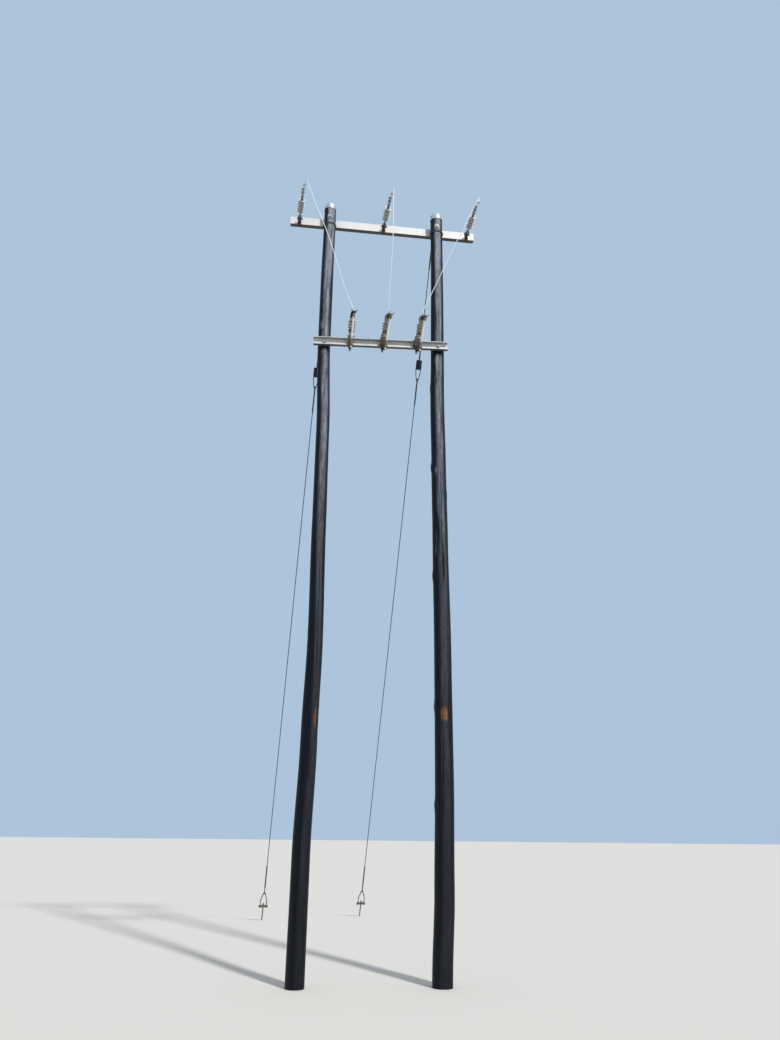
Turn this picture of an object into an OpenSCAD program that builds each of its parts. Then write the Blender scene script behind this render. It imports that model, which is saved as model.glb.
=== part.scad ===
// Wooden H-frame utility pole: two round poles, two steel crossarms, three strain strings,
// three jumpers, three drop-out fuse cutouts and two back stays. Millimetres, +Z up.
// The origin is the centre of the left pole at ground level, +X runs along the arms,
// and the stays lead back along +Y.

/* [Poles] */
// Distance between the pole centres at the ground
pole_spacing = 1500; // [1400:10:1600]
// Height of the left pole above the ground
left_pole_h = 9715; // [9650:5:9800]
// Height of the right pole above the ground
right_pole_h = 9675; // [9620:5:9800]
// Flat sides of the crooked trunk's outline
pole_sides = 24; // [16:4:36]
// Depth of the metal cap over each pole top
cap_depth = 72; // [50:1:90]

/* [Upper crossarm] */
// Length of the upper arm
upper_arm_l = 2610; // [2560:10:2660]
// Height of the upper arm's channel section
upper_arm_h = 120; // [110:1:130]
// Reach of its flanges
upper_arm_f = 65; // [55:1:75]
// Height of the upper arm's middle above the ground
upper_arm_z = 9476; // [9450:1:9490]
// Fall of the upper arm towards the right, in degrees
upper_arm_tilt = 1.2; // [0:0.1:1.5]

/* [Lower crossarm] */
// Length of the lower arm
lower_arm_l = 1770; // [1740:10:1840]
// Height of the lower arm's channel section
lower_arm_h = 110; // [100:1:120]
// Reach of its flanges
lower_arm_f = 50; // [45:1:60]
// Height of the lower arm's middle above the ground
lower_arm_z = 7465; // [7440:1:7500]
// Rise of the lower arm towards the right, in degrees
lower_arm_tilt = 1.3; // [0:0.1:1.5]

/* [Strain strings] */
// Distance between neighbouring phases on the upper arm
phase_gap = 1188; // [1150:1:1200]
// Upward slope of the line away from the arm, in degrees
line_rise = 12; // [5:1:15]
// Turn of the line towards the right, in degrees
line_turn = 5.7; // [0:0.1:8]
// Radius of the sheds on a strain insulator
shed_r = 49; // [42:1:52]
// Number of sheds on a strain insulator
shed_count = 6; // [4:1:6]
// Diameter of the line conductor
conductor_d = 9.5; // [8:0.5:10]

/* [Fuse cutouts] */
// Backward tilt of each cutout, in degrees
cutout_tilt = 20; // [15:1:22]
// Length of a cutout's porcelain
cutout_l = 330; // [320:1:340]
// Radius of its sheds
cutout_shed_r = 50; // [44:1:52]
// Distance from the porcelain's axis to the fuse tube's
tube_gap = 105; // [100:1:115]
// Radius of the fuse tube
tube_r = 13; // [11:0.5:14]
// Distance from the fuse tube's axis back to its trunnion's
hinge_back = 22; // [22:0.5:24]
// Radius of the hook-stick ring's hole
pull_ring_r = 16; // [12:1:17]

/* [Stays] */
// Diameter of the stay wire
stay_d = 12; // [10:0.5:12]
// Height at which the stays are wrapped round the poles
stay_z = 9380; // [9360:1:9390]
// Length of a stay insulator
stay_insulator_l = 140; // [130:1:150]
// Radius of a stay insulator
stay_insulator_r = 42; // [40:1:44]

/* [Hidden] */
$fn = 48;
SIDES = ["left", "middle", "right"];

// Stations along each trunk: height, sideways drift of the centre, diameter.
LEFT_TRUNK = [
    [0, 0, 200], [1200, 4, 198], [2400, 33, 190], [3500, 54, 182], [4900, 40, 173],
    [6200, 34, 168], [7450, 2, 165], [8500, 0, 168], [9400, 5, 164], [left_pole_h, 4, 160]
];
RIGHT_TRUNK = [
    [0, 0, 217], [900, 30, 220], [2000, 41, 212], [3400, 38, 203], [4800, 22, 192],
    [5800, 12, 186], [6700, 2, 183], [7450, 9, 178], [8500, 14, 170], [right_pole_h, 12, 166]
];

// Planes on which the arms bear against the poles
upper_seat_y = 78;
lower_seat_y = -78;
web_t = 6;
flange_t = 9;
arm_root_r = 8;
washer_t = 5;
pole_bolt_r = 10;
bolt_play = 1;
spot_depth = 4.5;
trunk_steps = 3;

upper_arm_x = 760;
lower_arm_x = 745;
first_phase_x = upper_arm_x - phase_gap + 8;

// Strain bracket, shackle and string, measured outward from the eye's centre
strap_t = 8;
strap_w = 44;
eye_reach = 34;
eye_r = 10;
lug_r = 22;
lug_t = 16;
eye_bolt_r = 8;
shackle_r = 19;
shackle_rod_r = 7;
shackle_leg = 36;
string_eye_s = 56;
ferrule_s = 82;
first_shed_s = 122;
shed_pitch = 36;
last_shed_s = first_shed_s + (shed_count - 1) * shed_pitch;
outer_ferrule_s = last_shed_s + 14;
tongue_s = outer_ferrule_s + 48;
clamp_s = tongue_s + 16;
clamp_end_s = clamp_s + 110;
tap_s = clamp_end_s + 40;
tap_end_s = tap_s + 38;
stub_end_s = tap_end_s + 27;
tap_offset = 18;

// Cutouts: where each hangs from the lower arm, and how far it is turned to the right
CUTOUT_X = [332, 748, 1190];
CUTOUT_TURN = [6, 18, 18];
cutout_drop = 20;
cutout_pivot_y = -325;
cutout_reach = 75;
hinge_y = hinge_back - tube_gap;
cheek_x = 24;
cheek_t = 5;
trunnion_z = -(cutout_l / 2 + 40);
terminal_z = cutout_l / 2 + 85;
socket_z = terminal_z - 7.1;

// Jumper routes, from the tap clamp to the cutout's terminal
JUMPER_LEFT = [
    [-347, -516, 9619], [-343, -550, 9626], [-334, -585, 9620], [-320, -610, 9590],
    [-305, -625, 9530], [-270, -632, 9420], [-219, -629, 9268], [-108, -613, 8996],
    [-29, -592, 8800], [73, -560, 8507], [150, -540, 8270], [240, -515, 7980],
    [330, -508, 7750], [351, -506, 7700], [350.2, -498.1, 7678.4], [349.5, -491.6, 7660.6]
];
JUMPER_MIDDLE = [
    [841, -516, 9594], [845, -550, 9601], [847, -585, 9595], [845, -610, 9565],
    [840, -625, 9505], [836, -632, 9400], [838, -630, 9230], [841, -622, 8987],
    [836, -600, 8640], [826, -568, 8370], [812, -530, 8032], [806, -505, 7780],
    [804, -498, 7710], [801.8, -490.5, 7687.8], [799.8, -484.3, 7670]
];
JUMPER_RIGHT = [
    [2029, -516, 9569], [2032, -550, 9576], [2028, -585, 9570], [2014, -610, 9540],
    [1988, -625, 9480], [1945, -632, 9390], [1890, -628, 9270], [1781, -613, 8991],
    [1685, -590, 8790], [1560, -558, 8500], [1470, -540, 8270], [1375, -518, 8040],
    [1265, -500, 7780], [1247, -497, 7720], [1243.8, -490.5, 7697.9], [1241.8, -484.3, 7680.1]
];

// Stays: compass of the tie-off on the pole, anchor point at the ground, insulator place
STAY_ANCHOR = [[-600, 5860, 0], [1073, 6480, 0]];
STAY_TIE_DEG = [80, 118];
STAY_INSULATOR_S = [1985, 1790];
loop_r = 36;
bow_s = 510;
crosshead_s = 270;
bow_w = 50;

// Geometry helpers

function unit(v) = v / norm(v);

// Blend between the stations of a trunk, at height z: [centre drift, radius]
function station(trunk, z, i = 0) =
    i >= len(trunk) - 2 || z <= trunk[i + 1][0]
        ? let (t = (z - trunk[i][0]) / (trunk[i + 1][0] - trunk[i][0]),
               e = t * t * (3 - 2 * t))
          [trunk[i][1] + e * (trunk[i + 1][1] - trunk[i][1]),
           (trunk[i][2] + t * (trunk[i + 1][2] - trunk[i][2])) / 2]
        : station(trunk, z, i + 1);
function trunk_x(side, z) =
    side == 0 ? station(LEFT_TRUNK, z)[0] : pole_spacing + station(RIGHT_TRUNK, z)[0];
function trunk_r(side, z) = station(side == 0 ? LEFT_TRUNK : RIGHT_TRUNK, z)[1];

function upper_arm_at(x) = upper_arm_z - (x - upper_arm_x) * tan(upper_arm_tilt);
function lower_arm_at(x) = lower_arm_z + (x - lower_arm_x) * tan(lower_arm_tilt);
function phase_x(i) = first_phase_x + i * phase_gap;

// Points of a smooth curve through the given ones, a few steps between each pair
function curve(p, steps) = [
    for (i = [0 : len(p) - 2], k = [0 : (i == len(p) - 2 ? steps : steps - 1)])
        let (t = k / steps,
             a = p[max(i - 1, 0)], b = p[i], c = p[i + 1], d = p[min(i + 2, len(p) - 1)])
        0.5 * ((2 * b) + (c - a) * t + (2 * a - 5 * b + 4 * c - d) * t * t
               + (3 * b - a - 3 * c + d) * t * t * t)
];

// An outline with each corner swept to a small curve that starts r away from it
function soften(p, r, steps = 3) = [
    for (i = [0 : len(p) - 1])
        let (a = p[(i + len(p) - 1) % len(p)], b = p[i], c = p[(i + 1) % len(p)],
             u = b + unit(a - b) * min(r, 0.45 * norm(a - b)),
             v = b + unit(c - b) * min(r, 0.45 * norm(c - b)))
        for (k = [0 : steps])
            let (t = k / steps) (1 - t) * (1 - t) * u + 2 * t * (1 - t) * b + t * t * v
];

// A plate of width w across X with the given outline in Y and Z
module plate_x(outline, w) {
    rotate([90, 0, 90]) linear_extrude(height = w, center = true) polygon(outline);
}

// A plate from y1 back to y0 with the given outline in X and Z
module plate_y(outline, y0, y1) {
    translate([0, y1, 0]) rotate([90, 0, 0]) linear_extrude(height = y1 - y0) polygon(outline);
}

// A closed skin over a stack of rings that all have the same number of points
module loft(rings) {
    n = len(rings[0]);
    m = len(rings);
    polyhedron(
        points = [for (r = rings, p = r) p],
        faces = concat(
            [[for (k = [0 : n - 1]) k]],
            [for (i = [0 : m - 2], k = [0 : n - 1])
                [i * n + k, (i + 1) * n + k, (i + 1) * n + (k + 1) % n]],
            [for (i = [0 : m - 2], k = [0 : n - 1])
                [i * n + k, (i + 1) * n + (k + 1) % n, i * n + (k + 1) % n]],
            [[for (k = [n - 1 : -1 : 0]) (m - 1) * n + k]]
        ),
        convexity = 6
    );
}

// A round bar swept along a path; across is a direction that the path never follows
module bar(path, r, across, sides = 8) {
    last = len(path) - 1;
    loft([
        for (i = [0 : last])
            let (t = unit(path[min(i + 1, last)] - path[max(i - 1, 0)]),
                 u = unit(cross(across, t)),
                 v = cross(t, u))
            [for (k = [0 : sides - 1])
                path[i] + r * (cos(k * 360 / sides) * u + sin(k * 360 / sides) * v)]
    ]);
}

// A bolt along +Y from y0 to y1 with a hexagon head at the near end and a nut at nut_y
module bolt_y(r, y0, y1, nut_y, washer_w, head_washer_y, nut_washer_y) {
    translate([0, y0, 0]) rotate([-90, 0, 0]) cylinder(r = 1.7 * r, h = 1.3 * r, $fn = 6);
    translate([0, y0 + r, 0]) rotate([-90, 0, 0]) cylinder(r = r, h = y1 - y0 - r);
    translate([0, nut_y, 0]) rotate([-90, 0, 0]) cylinder(r = 1.7 * r, h = 1.6 * r, $fn = 6);
    translate([0, head_washer_y, 0]) square_washer(r, washer_w);
    translate([0, nut_washer_y, 0]) square_washer(r, washer_w * 0.8);
}

module square_washer(r, w) {
    translate([-w / 2, 0, -w / 2]) cube([w, washer_t, w]);
}

// Poles

module trunk(side) {
    form = side == 0 ? LEFT_TRUNK : RIGHT_TRUNK;
    heights = [
        for (i = [0 : len(form) - 2], k = [0 : (i == len(form) - 2 ? trunk_steps : trunk_steps - 1)])
            form[i][0] + (form[i + 1][0] - form[i][0]) * k / trunk_steps
    ];
    loft([
        for (z = heights)
            [for (k = [0 : pole_sides - 1])
                let (a = -k * 360 / pole_sides, r = trunk_r(side, z))
                [trunk_x(side, z) + r * cos(a), r * sin(a), z]]
    ]);
}

// Cuts away what stands in front of (dir = -1) or behind (dir = 1) the plane y
module flat_seat(x, y, z, w, h, dir) {
    translate([x - w / 2, dir > 0 ? y : y - 60, z - h / 2]) cube([w, 60, h]);
}

module pole(side) {
    xu = trunk_x(side, upper_arm_at(side * pole_spacing));
    zu = upper_arm_at(xu);
    xl = trunk_x(side, lower_arm_at(side * pole_spacing));
    zl = lower_arm_at(xl);
    color([0.13, 0.13, 0.16])
    difference() {
        trunk(side);
        flat_seat(xu, upper_seat_y, zu, 240, upper_arm_h + 16, 1);
        flat_seat(xu, -(trunk_r(side, zu) - spot_depth), zu, 62, 62, -1);
        flat_seat(xl, lower_seat_y, zl, 240, lower_arm_h + 14, -1);
        flat_seat(xl, trunk_r(side, zl) - spot_depth, zl, 62, 62, 1);
        for (p = [[xu, zu], [xl, zl]])
            translate([p[0], -150, p[1]]) rotate([-90, 0, 0])
                cylinder(r = pole_bolt_r + bolt_play, h = 300);
    }
}

module pole_cap(side) {
    h = side == 0 ? left_pole_h : right_pole_h;
    r = trunk_r(side, h - cap_depth) + 0.5;
    color([0.86, 0.87, 0.88])
    translate([trunk_x(side, h), 0, h])
    rotate_extrude()
        polygon([
            [0, 0], [r, 0], [r, -cap_depth], [r + 3, -cap_depth], [r + 3, -cap_depth + 4],
            [r + 1.6, -cap_depth + 6], [r + 1.6, -2], [r - 2, 1.6], [r * 0.5, 4], [0, 5]
        ]);
}

// Crossarms

// A rolled channel lying along X, its web on the plane y = 0 and its flanges, which
// thin towards their tips, reaching to +Y
module channel(length, h, f) {
    inner = h / 2 - flange_t;
    taper = 0.04 * (f - web_t);
    rotate([90, 0, 90])
    linear_extrude(height = length, center = true)
    difference() {
        translate([0, -h / 2]) square([f, h]);
        polygon(soften([
            [web_t, taper - inner], [f + 20, -inner - taper - 1.6],
            [f + 20, inner + taper + 1.6], [web_t, inner - taper]
        ], arm_root_r, 4));
    }
}

module web_hole(x, r) {
    translate([x, -20, 0]) rotate([-90, 0, 0]) cylinder(r = r, h = 60);
}

module upper_arm() {
    color([0.93, 0.93, 0.9])
    translate([upper_arm_x, upper_seat_y, upper_arm_z])
    rotate([0, upper_arm_tilt, 0])
    difference() {
        channel(upper_arm_l, upper_arm_h, upper_arm_f);
        for (side = [0, 1])
            web_hole((trunk_x(side, upper_arm_z) - upper_arm_x) / cos(upper_arm_tilt),
                     pole_bolt_r + bolt_play);
        for (i = [0 : 2])
            web_hole((phase_x(i) - upper_arm_x) / cos(upper_arm_tilt), eye_bolt_r + bolt_play);
    }
}

module lower_arm() {
    color([0.74, 0.76, 0.78])
    translate([lower_arm_x, lower_seat_y, lower_arm_z])
    rotate([0, -lower_arm_tilt, 0])
    mirror([0, 1, 0])
    difference() {
        channel(lower_arm_l, lower_arm_h, lower_arm_f);
        for (side = [0, 1])
            web_hole((trunk_x(side, lower_arm_z) - lower_arm_x) / cos(lower_arm_tilt),
                     pole_bolt_r + bolt_play);
        for (x = CUTOUT_X)
            web_hole((x - lower_arm_x) / cos(lower_arm_tilt), 7);
    }
}

module upper_arm_bolts() {
    color([0.8, 0.81, 0.82])
    for (side = [0, 1]) {
        x = trunk_x(side, upper_arm_z);
        z = upper_arm_at(x);
        front = -(trunk_r(side, z) - spot_depth);
        inner = upper_seat_y + web_t;
        translate([x, 0, z])
            bolt_y(pole_bolt_r, front - washer_t - 1.3 * pole_bolt_r,
                   inner + washer_t + 30, inner + washer_t, 55, front - washer_t, inner);
    }
}

module lower_arm_bolts() {
    color([0.7, 0.71, 0.72])
    for (side = [0, 1]) {
        x = trunk_x(side, lower_arm_z);
        z = lower_arm_at(x);
        back = trunk_r(side, z) - spot_depth;
        inner = lower_seat_y - web_t;
        translate([x, 0, z])
        mirror([0, 1, 0])
            bolt_y(pole_bolt_r, -back - washer_t - 1.3 * pole_bolt_r,
                   -inner + washer_t + 25, -inner + washer_t, 55, -back - washer_t, -inner);
    }
}

// Strain strings. In a string's own frame the pin of the shackle is at the origin
// and -Y runs out along the line.

module on_upper_arm(x) {
    translate([x, upper_seat_y, upper_arm_at(x)]) rotate([0, upper_arm_tilt, 0]) children();
}

module on_string(i) {
    translate([phase_x(i), upper_seat_y - strap_t - eye_reach, upper_arm_at(phase_x(i))])
    rotate([0, 0, line_turn])
    rotate([-line_rise, 0, 0])
        children();
}

module disc_x(r, w) {
    rotate([0, 90, 0]) cylinder(r = r, h = w, center = true);
}

// A cylinder along -Y between two distances from the origin
module rod_out(r, s0, s1) {
    translate([0, -s0, 0]) rotate([90, 0, 0]) cylinder(r = r, h = s1 - s0);
}

module strain_bracket(i) {
    h = upper_arm_h / 2;
    leg = 42;
    color([0.2, 0.15, 0.12])
    on_upper_arm(phase_x(i))
    union() {
        difference() {
            plate_x(soften([
                [leg, -h - strap_t], [leg, h + strap_t], [-strap_t, h + strap_t], [-strap_t, -h - strap_t]
            ], 9), strap_w);
            plate_x([[0, -h - 0.2], [leg + 1, -h - 0.2], [leg + 1, h + 0.2], [0, h + 0.2]],
                                         strap_w + 2);
        }
        difference() {
            union() {
                plate_x([[1 - strap_t, -40], [1 - strap_t, 40], [-strap_t - 10, 27],
                         [-strap_t - eye_reach, lug_r - 0.5], [-strap_t - eye_reach, 0.5 - lug_r],
                         [-strap_t - 10, -27]], lug_t);
                translate([0, -strap_t - eye_reach, 0]) disc_x(lug_r, lug_t);
            }
            translate([0, -strap_t - eye_reach, 0]) disc_x(eye_r, lug_t + 2);
        }
        translate([0, -1, 0]) rotate([-90, 0, 0]) cylinder(r = eye_bolt_r, h = 42);
        translate([-20, web_t, -20]) cube([40, 4, 40]);
        translate([0, web_t + 4, 0]) rotate([-90, 0, 0]) cylinder(r = 15, h = 13, $fn = 6);
    }
}

module shackle(i) {
    color([0.25, 0.22, 0.2])
    on_string(i)
    union() {
        disc_x(8, 66);
        for (s = [-1, 1]) {
            translate([s * shackle_r, 0, 0]) disc_x(15, 13);
            translate([s * shackle_r, 0, 0]) rod_out(shackle_rod_r, 0, shackle_leg);
        }
        translate([33, 0, 0]) rotate([0, 90, 0]) cylinder(r = 14, h = 11, $fn = 6);
        translate([-38, 0, 0]) rotate([0, 90, 0]) cylinder(r = 12, h = 7);
        translate([0, -shackle_leg, 0])
            rotate([0, 0, 180])
            rotate_extrude(angle = 180)
                translate([shackle_r, 0]) circle(r = shackle_rod_r);
    }
}

// Rod and sheds turned about the string's axis: radius against distance outward
function shed_outline() = concat(
    [[0, ferrule_s], [12, ferrule_s], [15, ferrule_s + 6], [15, first_shed_s - 12], [11, first_shed_s - 9]],
    [for (k = [0 : shed_count - 1], p = [[11, -5], [shed_r - 3, 4], [shed_r, 7], [shed_r - 2, 9], [11, 7]])
        [p[0], first_shed_s + k * shed_pitch + p[1]]],
    [[11, outer_ferrule_s], [15, outer_ferrule_s + 3], [15, outer_ferrule_s + 26],
     [12, outer_ferrule_s + 32], [0, outer_ferrule_s + 32]]
);

module strain_insulator(i) {
    color([0.62, 0.64, 0.65])
    on_string(i)
    difference() {
        union() {
            rotate([90, 0, 0]) rotate_extrude() polygon(shed_outline());
            translate([0, -string_eye_s, 0]) disc_x(19, 12);
            translate([-6, -ferrule_s - 1, -12]) cube([12, ferrule_s - string_eye_s, 24]);
            translate([0, -tongue_s, 0]) disc_x(17, 12);
            translate([-6, -tongue_s, -13]) cube([12, tongue_s - outer_ferrule_s - 31, 26]);
        }
        translate([0, -string_eye_s, 0]) disc_x(10, 14);
        translate([0, -tongue_s, 0]) disc_x(8.5, 14);
    }
}

// A boat-shaped body with a fork at its near end; two keepers with U-bolts hold the wire
module strain_clamp(i) {
    color([0.72, 0.74, 0.75])
    on_string(i)
    difference() {
        union() {
            plate_x(soften([
                [-tongue_s + 16, -15], [-tongue_s + 16, 15], [-clamp_s - 8, 22],
                [-clamp_s - 30, 13], [-clamp_end_s + 4, 10], [-clamp_end_s, 4], [-clamp_end_s, -8],
                [-clamp_s - 60, -19], [-clamp_s - 8, -24]
            ], 9), 24);
            disc_at(tongue_s, 8, 44);
            for (k = [0, 1]) translate([0, -clamp_s - 40 - 50 * k, 0]) {
                plate_y(soften([[-22, 7], [22, 7], [22, 16], [13, 21], [-13, 21], [-22, 16]], 3), -14, 14);
                for (x = [-16, 16]) {
                    translate([x, 0, 6 * k - 6]) cylinder(r = 4.5, h = 38 - 6 * k);
                    translate([x, 0, 15]) cylinder(r = 8.5, h = 12, $fn = 6);
                }
                translate([0, 0, 6 * k - 6]) rotate([-90, 0, 0])
                    rotate_extrude(angle = 180) translate([16, 0]) circle(r = 4.5);
            }
        }
        translate([-6.6, -clamp_s - 3, -20]) cube([13.2, clamp_s - tongue_s + 25, 40]);
        rod_out(conductor_d / 2 + 0.25, clamp_s - 4, clamp_end_s + 1);
    }
}

// The clamp's pin is split by the fork's gap, so the tongue's bore stays clear
module disc_at(s, r, w) {
    translate([0, -s, 0]) disc_x(r, w);
}

module line_tap(i) {
    color([0.8, 0.82, 0.84])
    on_string(i)
    union() {
        rod_out(conductor_d / 2, clamp_s + 10, stub_end_s);
        translate([tap_offset, 0, 0]) rod_out(conductor_d / 2, tap_s - 18, tap_end_s);
        for (s = [-1, 1])
            plate_y([[-11, s], [tap_offset + 11, s], [tap_offset + 11, s * 7], [tap_offset + 5, s * 12],
                     [-5, s * 12], [-11, s * 7]], -tap_end_s, -tap_s);
        translate([tap_offset / 2, -tap_s - 20, -20]) cylinder(r = 4, h = 42);
        translate([tap_offset / 2, -tap_s - 20, 12]) cylinder(r = 8, h = 7, $fn = 6);
    }
}

module jumper(i) {
    color([0.85, 0.87, 0.9])
        bar(curve([JUMPER_LEFT, JUMPER_MIDDLE, JUMPER_RIGHT][i], 3), conductor_d / 2, [1, 0, 0]);
}

// Fuse cutouts. In a cutout's own frame the porcelain stands along Z about the origin
// and the fuse tube hangs in front of it, towards -Y.

module at_pivot(i) {
    translate([CUTOUT_X[i], cutout_pivot_y, lower_arm_at(CUTOUT_X[i]) - cutout_drop])
    rotate([0, 0, CUTOUT_TURN[i]])
        children();
}

module at_cutout(i) {
    at_pivot(i)
    translate([0, -cutout_reach, 0])
    rotate([cutout_tilt, 0, 0])
        children();
}

module cutout_bracket(i) {
    lip = lower_seat_y - lower_arm_f;
    x = CUTOUT_X[i];
    z = lower_arm_at(x);
    color([0.42, 0.3, 0.2])
    translate([x, 0, z])
    union() {
        plate_y(soften([[-25, -58], [25, -58], [25, 58], [-25, 58]], 8), lip - 8, lip);
        difference() {
            union() {
                translate([-22, cutout_pivot_y, -cutout_drop - 8])
                    cube([44, lip - 1 - cutout_pivot_y, 8]);
                translate([0, cutout_pivot_y, -cutout_drop - 8]) cylinder(r = 22, h = 8);
            }
            translate([0, cutout_pivot_y, -cutout_drop - 20]) cylinder(r = 6.8, h = 40);
        }
        for (s = [-1, 1])
            translate([s * 18.5, 0, 0])
                plate_x([[lip - 1, -cutout_drop - 4], [lip - 1, -54], [lip - 16, -52],
                         [cutout_pivot_y + 40, -cutout_drop - 12], [cutout_pivot_y + 30, -cutout_drop - 4]], 7);
        translate([0, lip - 18, 0]) rotate([-90, 0, 0]) cylinder(r = 6, h = 75);
        translate([0, lip - 18, 0]) rotate([-90, 0, 0]) cylinder(r = 11, h = 10, $fn = 6);
        translate([0, lower_seat_y, 0]) rotate([-90, 0, 0]) cylinder(r = 11, h = 10, $fn = 6);
    }
}

// One shed of the porcelain: hollow below, with a drip edge, and sloping above
function shed(z, r) = [
    [27, z - 16], [30, z - 9], [r - 12, z - 8], [r - 7, z - 11], [r - 4, z - 16], [r - 1, z - 16],
    [r, z - 12], [r - 6, z - 6], [r - 15, z + 1], [29, z + 9], [27, z + 16]
];

function cutout_outline() = concat(
    [[0, -cutout_l / 2], [30, -cutout_l / 2], [32, -cutout_l / 2 + 2], [32, -cutout_l / 2 + 12],
     [29, -cutout_l / 2 + 16]],
    [for (z = [-128, -92, -56], p = shed(z, cutout_shed_r)) p],
    [[28, -30], [31, -24], [31, 24], [28, 30]],
    [for (z = [56, 92, 128], p = shed(z, cutout_shed_r)) p],
    [[29, cutout_l / 2 - 16], [32, cutout_l / 2 - 12], [32, cutout_l / 2 - 2], [30, cutout_l / 2],
     [0, cutout_l / 2]]
);

module cutout_insulator(i) {
    color([0.5, 0.48, 0.45])
    at_cutout(i)
        rotate_extrude() polygon(cutout_outline());
}

module cutout_irons(i) {
    color([0.55, 0.52, 0.46]) {
        at_pivot(i) {
            difference() {
                union() {
                    linear_extrude(height = 8)
                        polygon(soften([[-20, -39], [20, -39], [20, 21], [-20, 21]], 9));
                    translate([0, -cutout_reach, 0]) rotate([cutout_tilt, 0, 0])
                        rotate_extrude()
                            polygon([[0, -17], [36, -17], [38, -14], [38, 14], [36, 17], [0, 17]]);
                }
                translate([0, -cutout_reach, 0]) rotate([cutout_tilt, 0, 0])
                    cylinder(r = 31.3, h = 120, center = true);
            }
            translate([0, 0, 8]) cylinder(r = 11, h = 8, $fn = 6);
            translate([0, 0, -24]) cylinder(r = 6, h = 34);
            translate([0, 0, -18.5]) cylinder(r = 11, h = 10, $fn = 6);
        }
        at_cutout(i) {
            top_irons();
            bottom_irons();
        }
    }
}

// Cap, bent hood with its two cheeks, contact spring, hooks and line terminal
module top_irons() {
    z = cutout_l / 2;
    front = -tube_gap - 24;
    rotate_extrude()
        polygon([[0, z], [33, z], [33, z + 13], [29, z + 21], [22, z + 25], [0, z + 25]]);
    plate_x(soften([
        [22, z + 18], [22, z + 60], [front, z + 64], [front - 3, z + 47], [front + 2, z + 47],
        [front + 6, z + 59], [14, z + 55], [14, z + 18]
    ], 7), 2 * cheek_x - 4);
    difference() {
        for (s = [-1, 1])
            translate([s * cheek_x, 0, 0])
                plate_x(soften([
                    [26, z + 14], [26, z + 63], [front - 2, z + 67], [front - 7, z + 53],
                    [front + 10, z + 41], [-72, z + 50], [-34, z + 42], [-18, z + 14]
                ], 9), cheek_t);
        translate([0, 0, z + 38]) disc_x(7, 80);
        translate([0, -98, z + 56]) disc_x(4.5, 80);
    }
    plate_x([
        [-6, z + 60], [-6, z + 57], [-70, z + 45], [-104, z + 42.5], [-119, z + 46],
        [-120, z + 48.5], [-104, z + 45], [-70, z + 47.5], [-24, z + 59]
    ], 18);
    for (s = [-1, 1]) translate([s * (cheek_x + 3), 0, z + 58]) {
        translate([0, -62, 0]) rotate([90, 0, 0]) cylinder(r = 4, h = 78);
        translate([0, -140, 0]) rotate([0, s * 38, 0]) translate([0, 0, 15])
            mirror([0, 1, 0]) rotate([0, 90, 0])
                rotate_extrude(angle = 105) translate([15, 0]) circle(r = 4);
    }
    difference() {
        plate_x([[-22, z + 57], [-22, terminal_z], [2, terminal_z], [7, z + 68], [7, z + 57]], 20);
        translate([0, -10, socket_z]) cylinder(r = 6.5, h = 20);
    }
    translate([0, -10, z + 67]) disc_x(5, 34);
    translate([9, -10, z + 67]) rotate([0, 90, 0]) cylinder(r = 9, h = 8, $fn = 6);
}

// Cap, the two arms that carry the trunnion, their bridge and the load terminal
module bottom_irons() {
    z = -cutout_l / 2;
    difference() {
        union() {
            rotate_extrude()
                polygon([[0, z - 22], [24, z - 22], [30, z - 18], [33, z - 10], [33, z], [0, z]]);
            for (s = [-1, 1])
                translate([s * 26, 0, 0])
                    plate_x(soften([
                        [18, z - 6], [18, z - 40], [-30, z - 50], [hinge_y - 4, z - 58],
                        [hinge_y - 17, z - 48], [hinge_y - 17, z - 30], [hinge_y + 2, z - 22],
                        [-38, z - 24], [-24, z - 6]
                    ], 10), 6);
            plate_x(soften([[-8, z - 14], [-6, z - 54], [10, z - 54], [10, z - 14]], 4), 52);
            plate_y(soften([[-15, z - 30], [-15, z - 72], [-10, z - 92], [10, z - 92],
                            [15, z - 72], [15, z - 30]], 7), 4, 10);
        }
        translate([0, hinge_y, trunnion_z]) disc_x(7.5, 70);
        translate([0, 20, z - 75]) rotate([90, 0, 0]) cylinder(r = 6.5, h = 40);
    }
}

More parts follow.
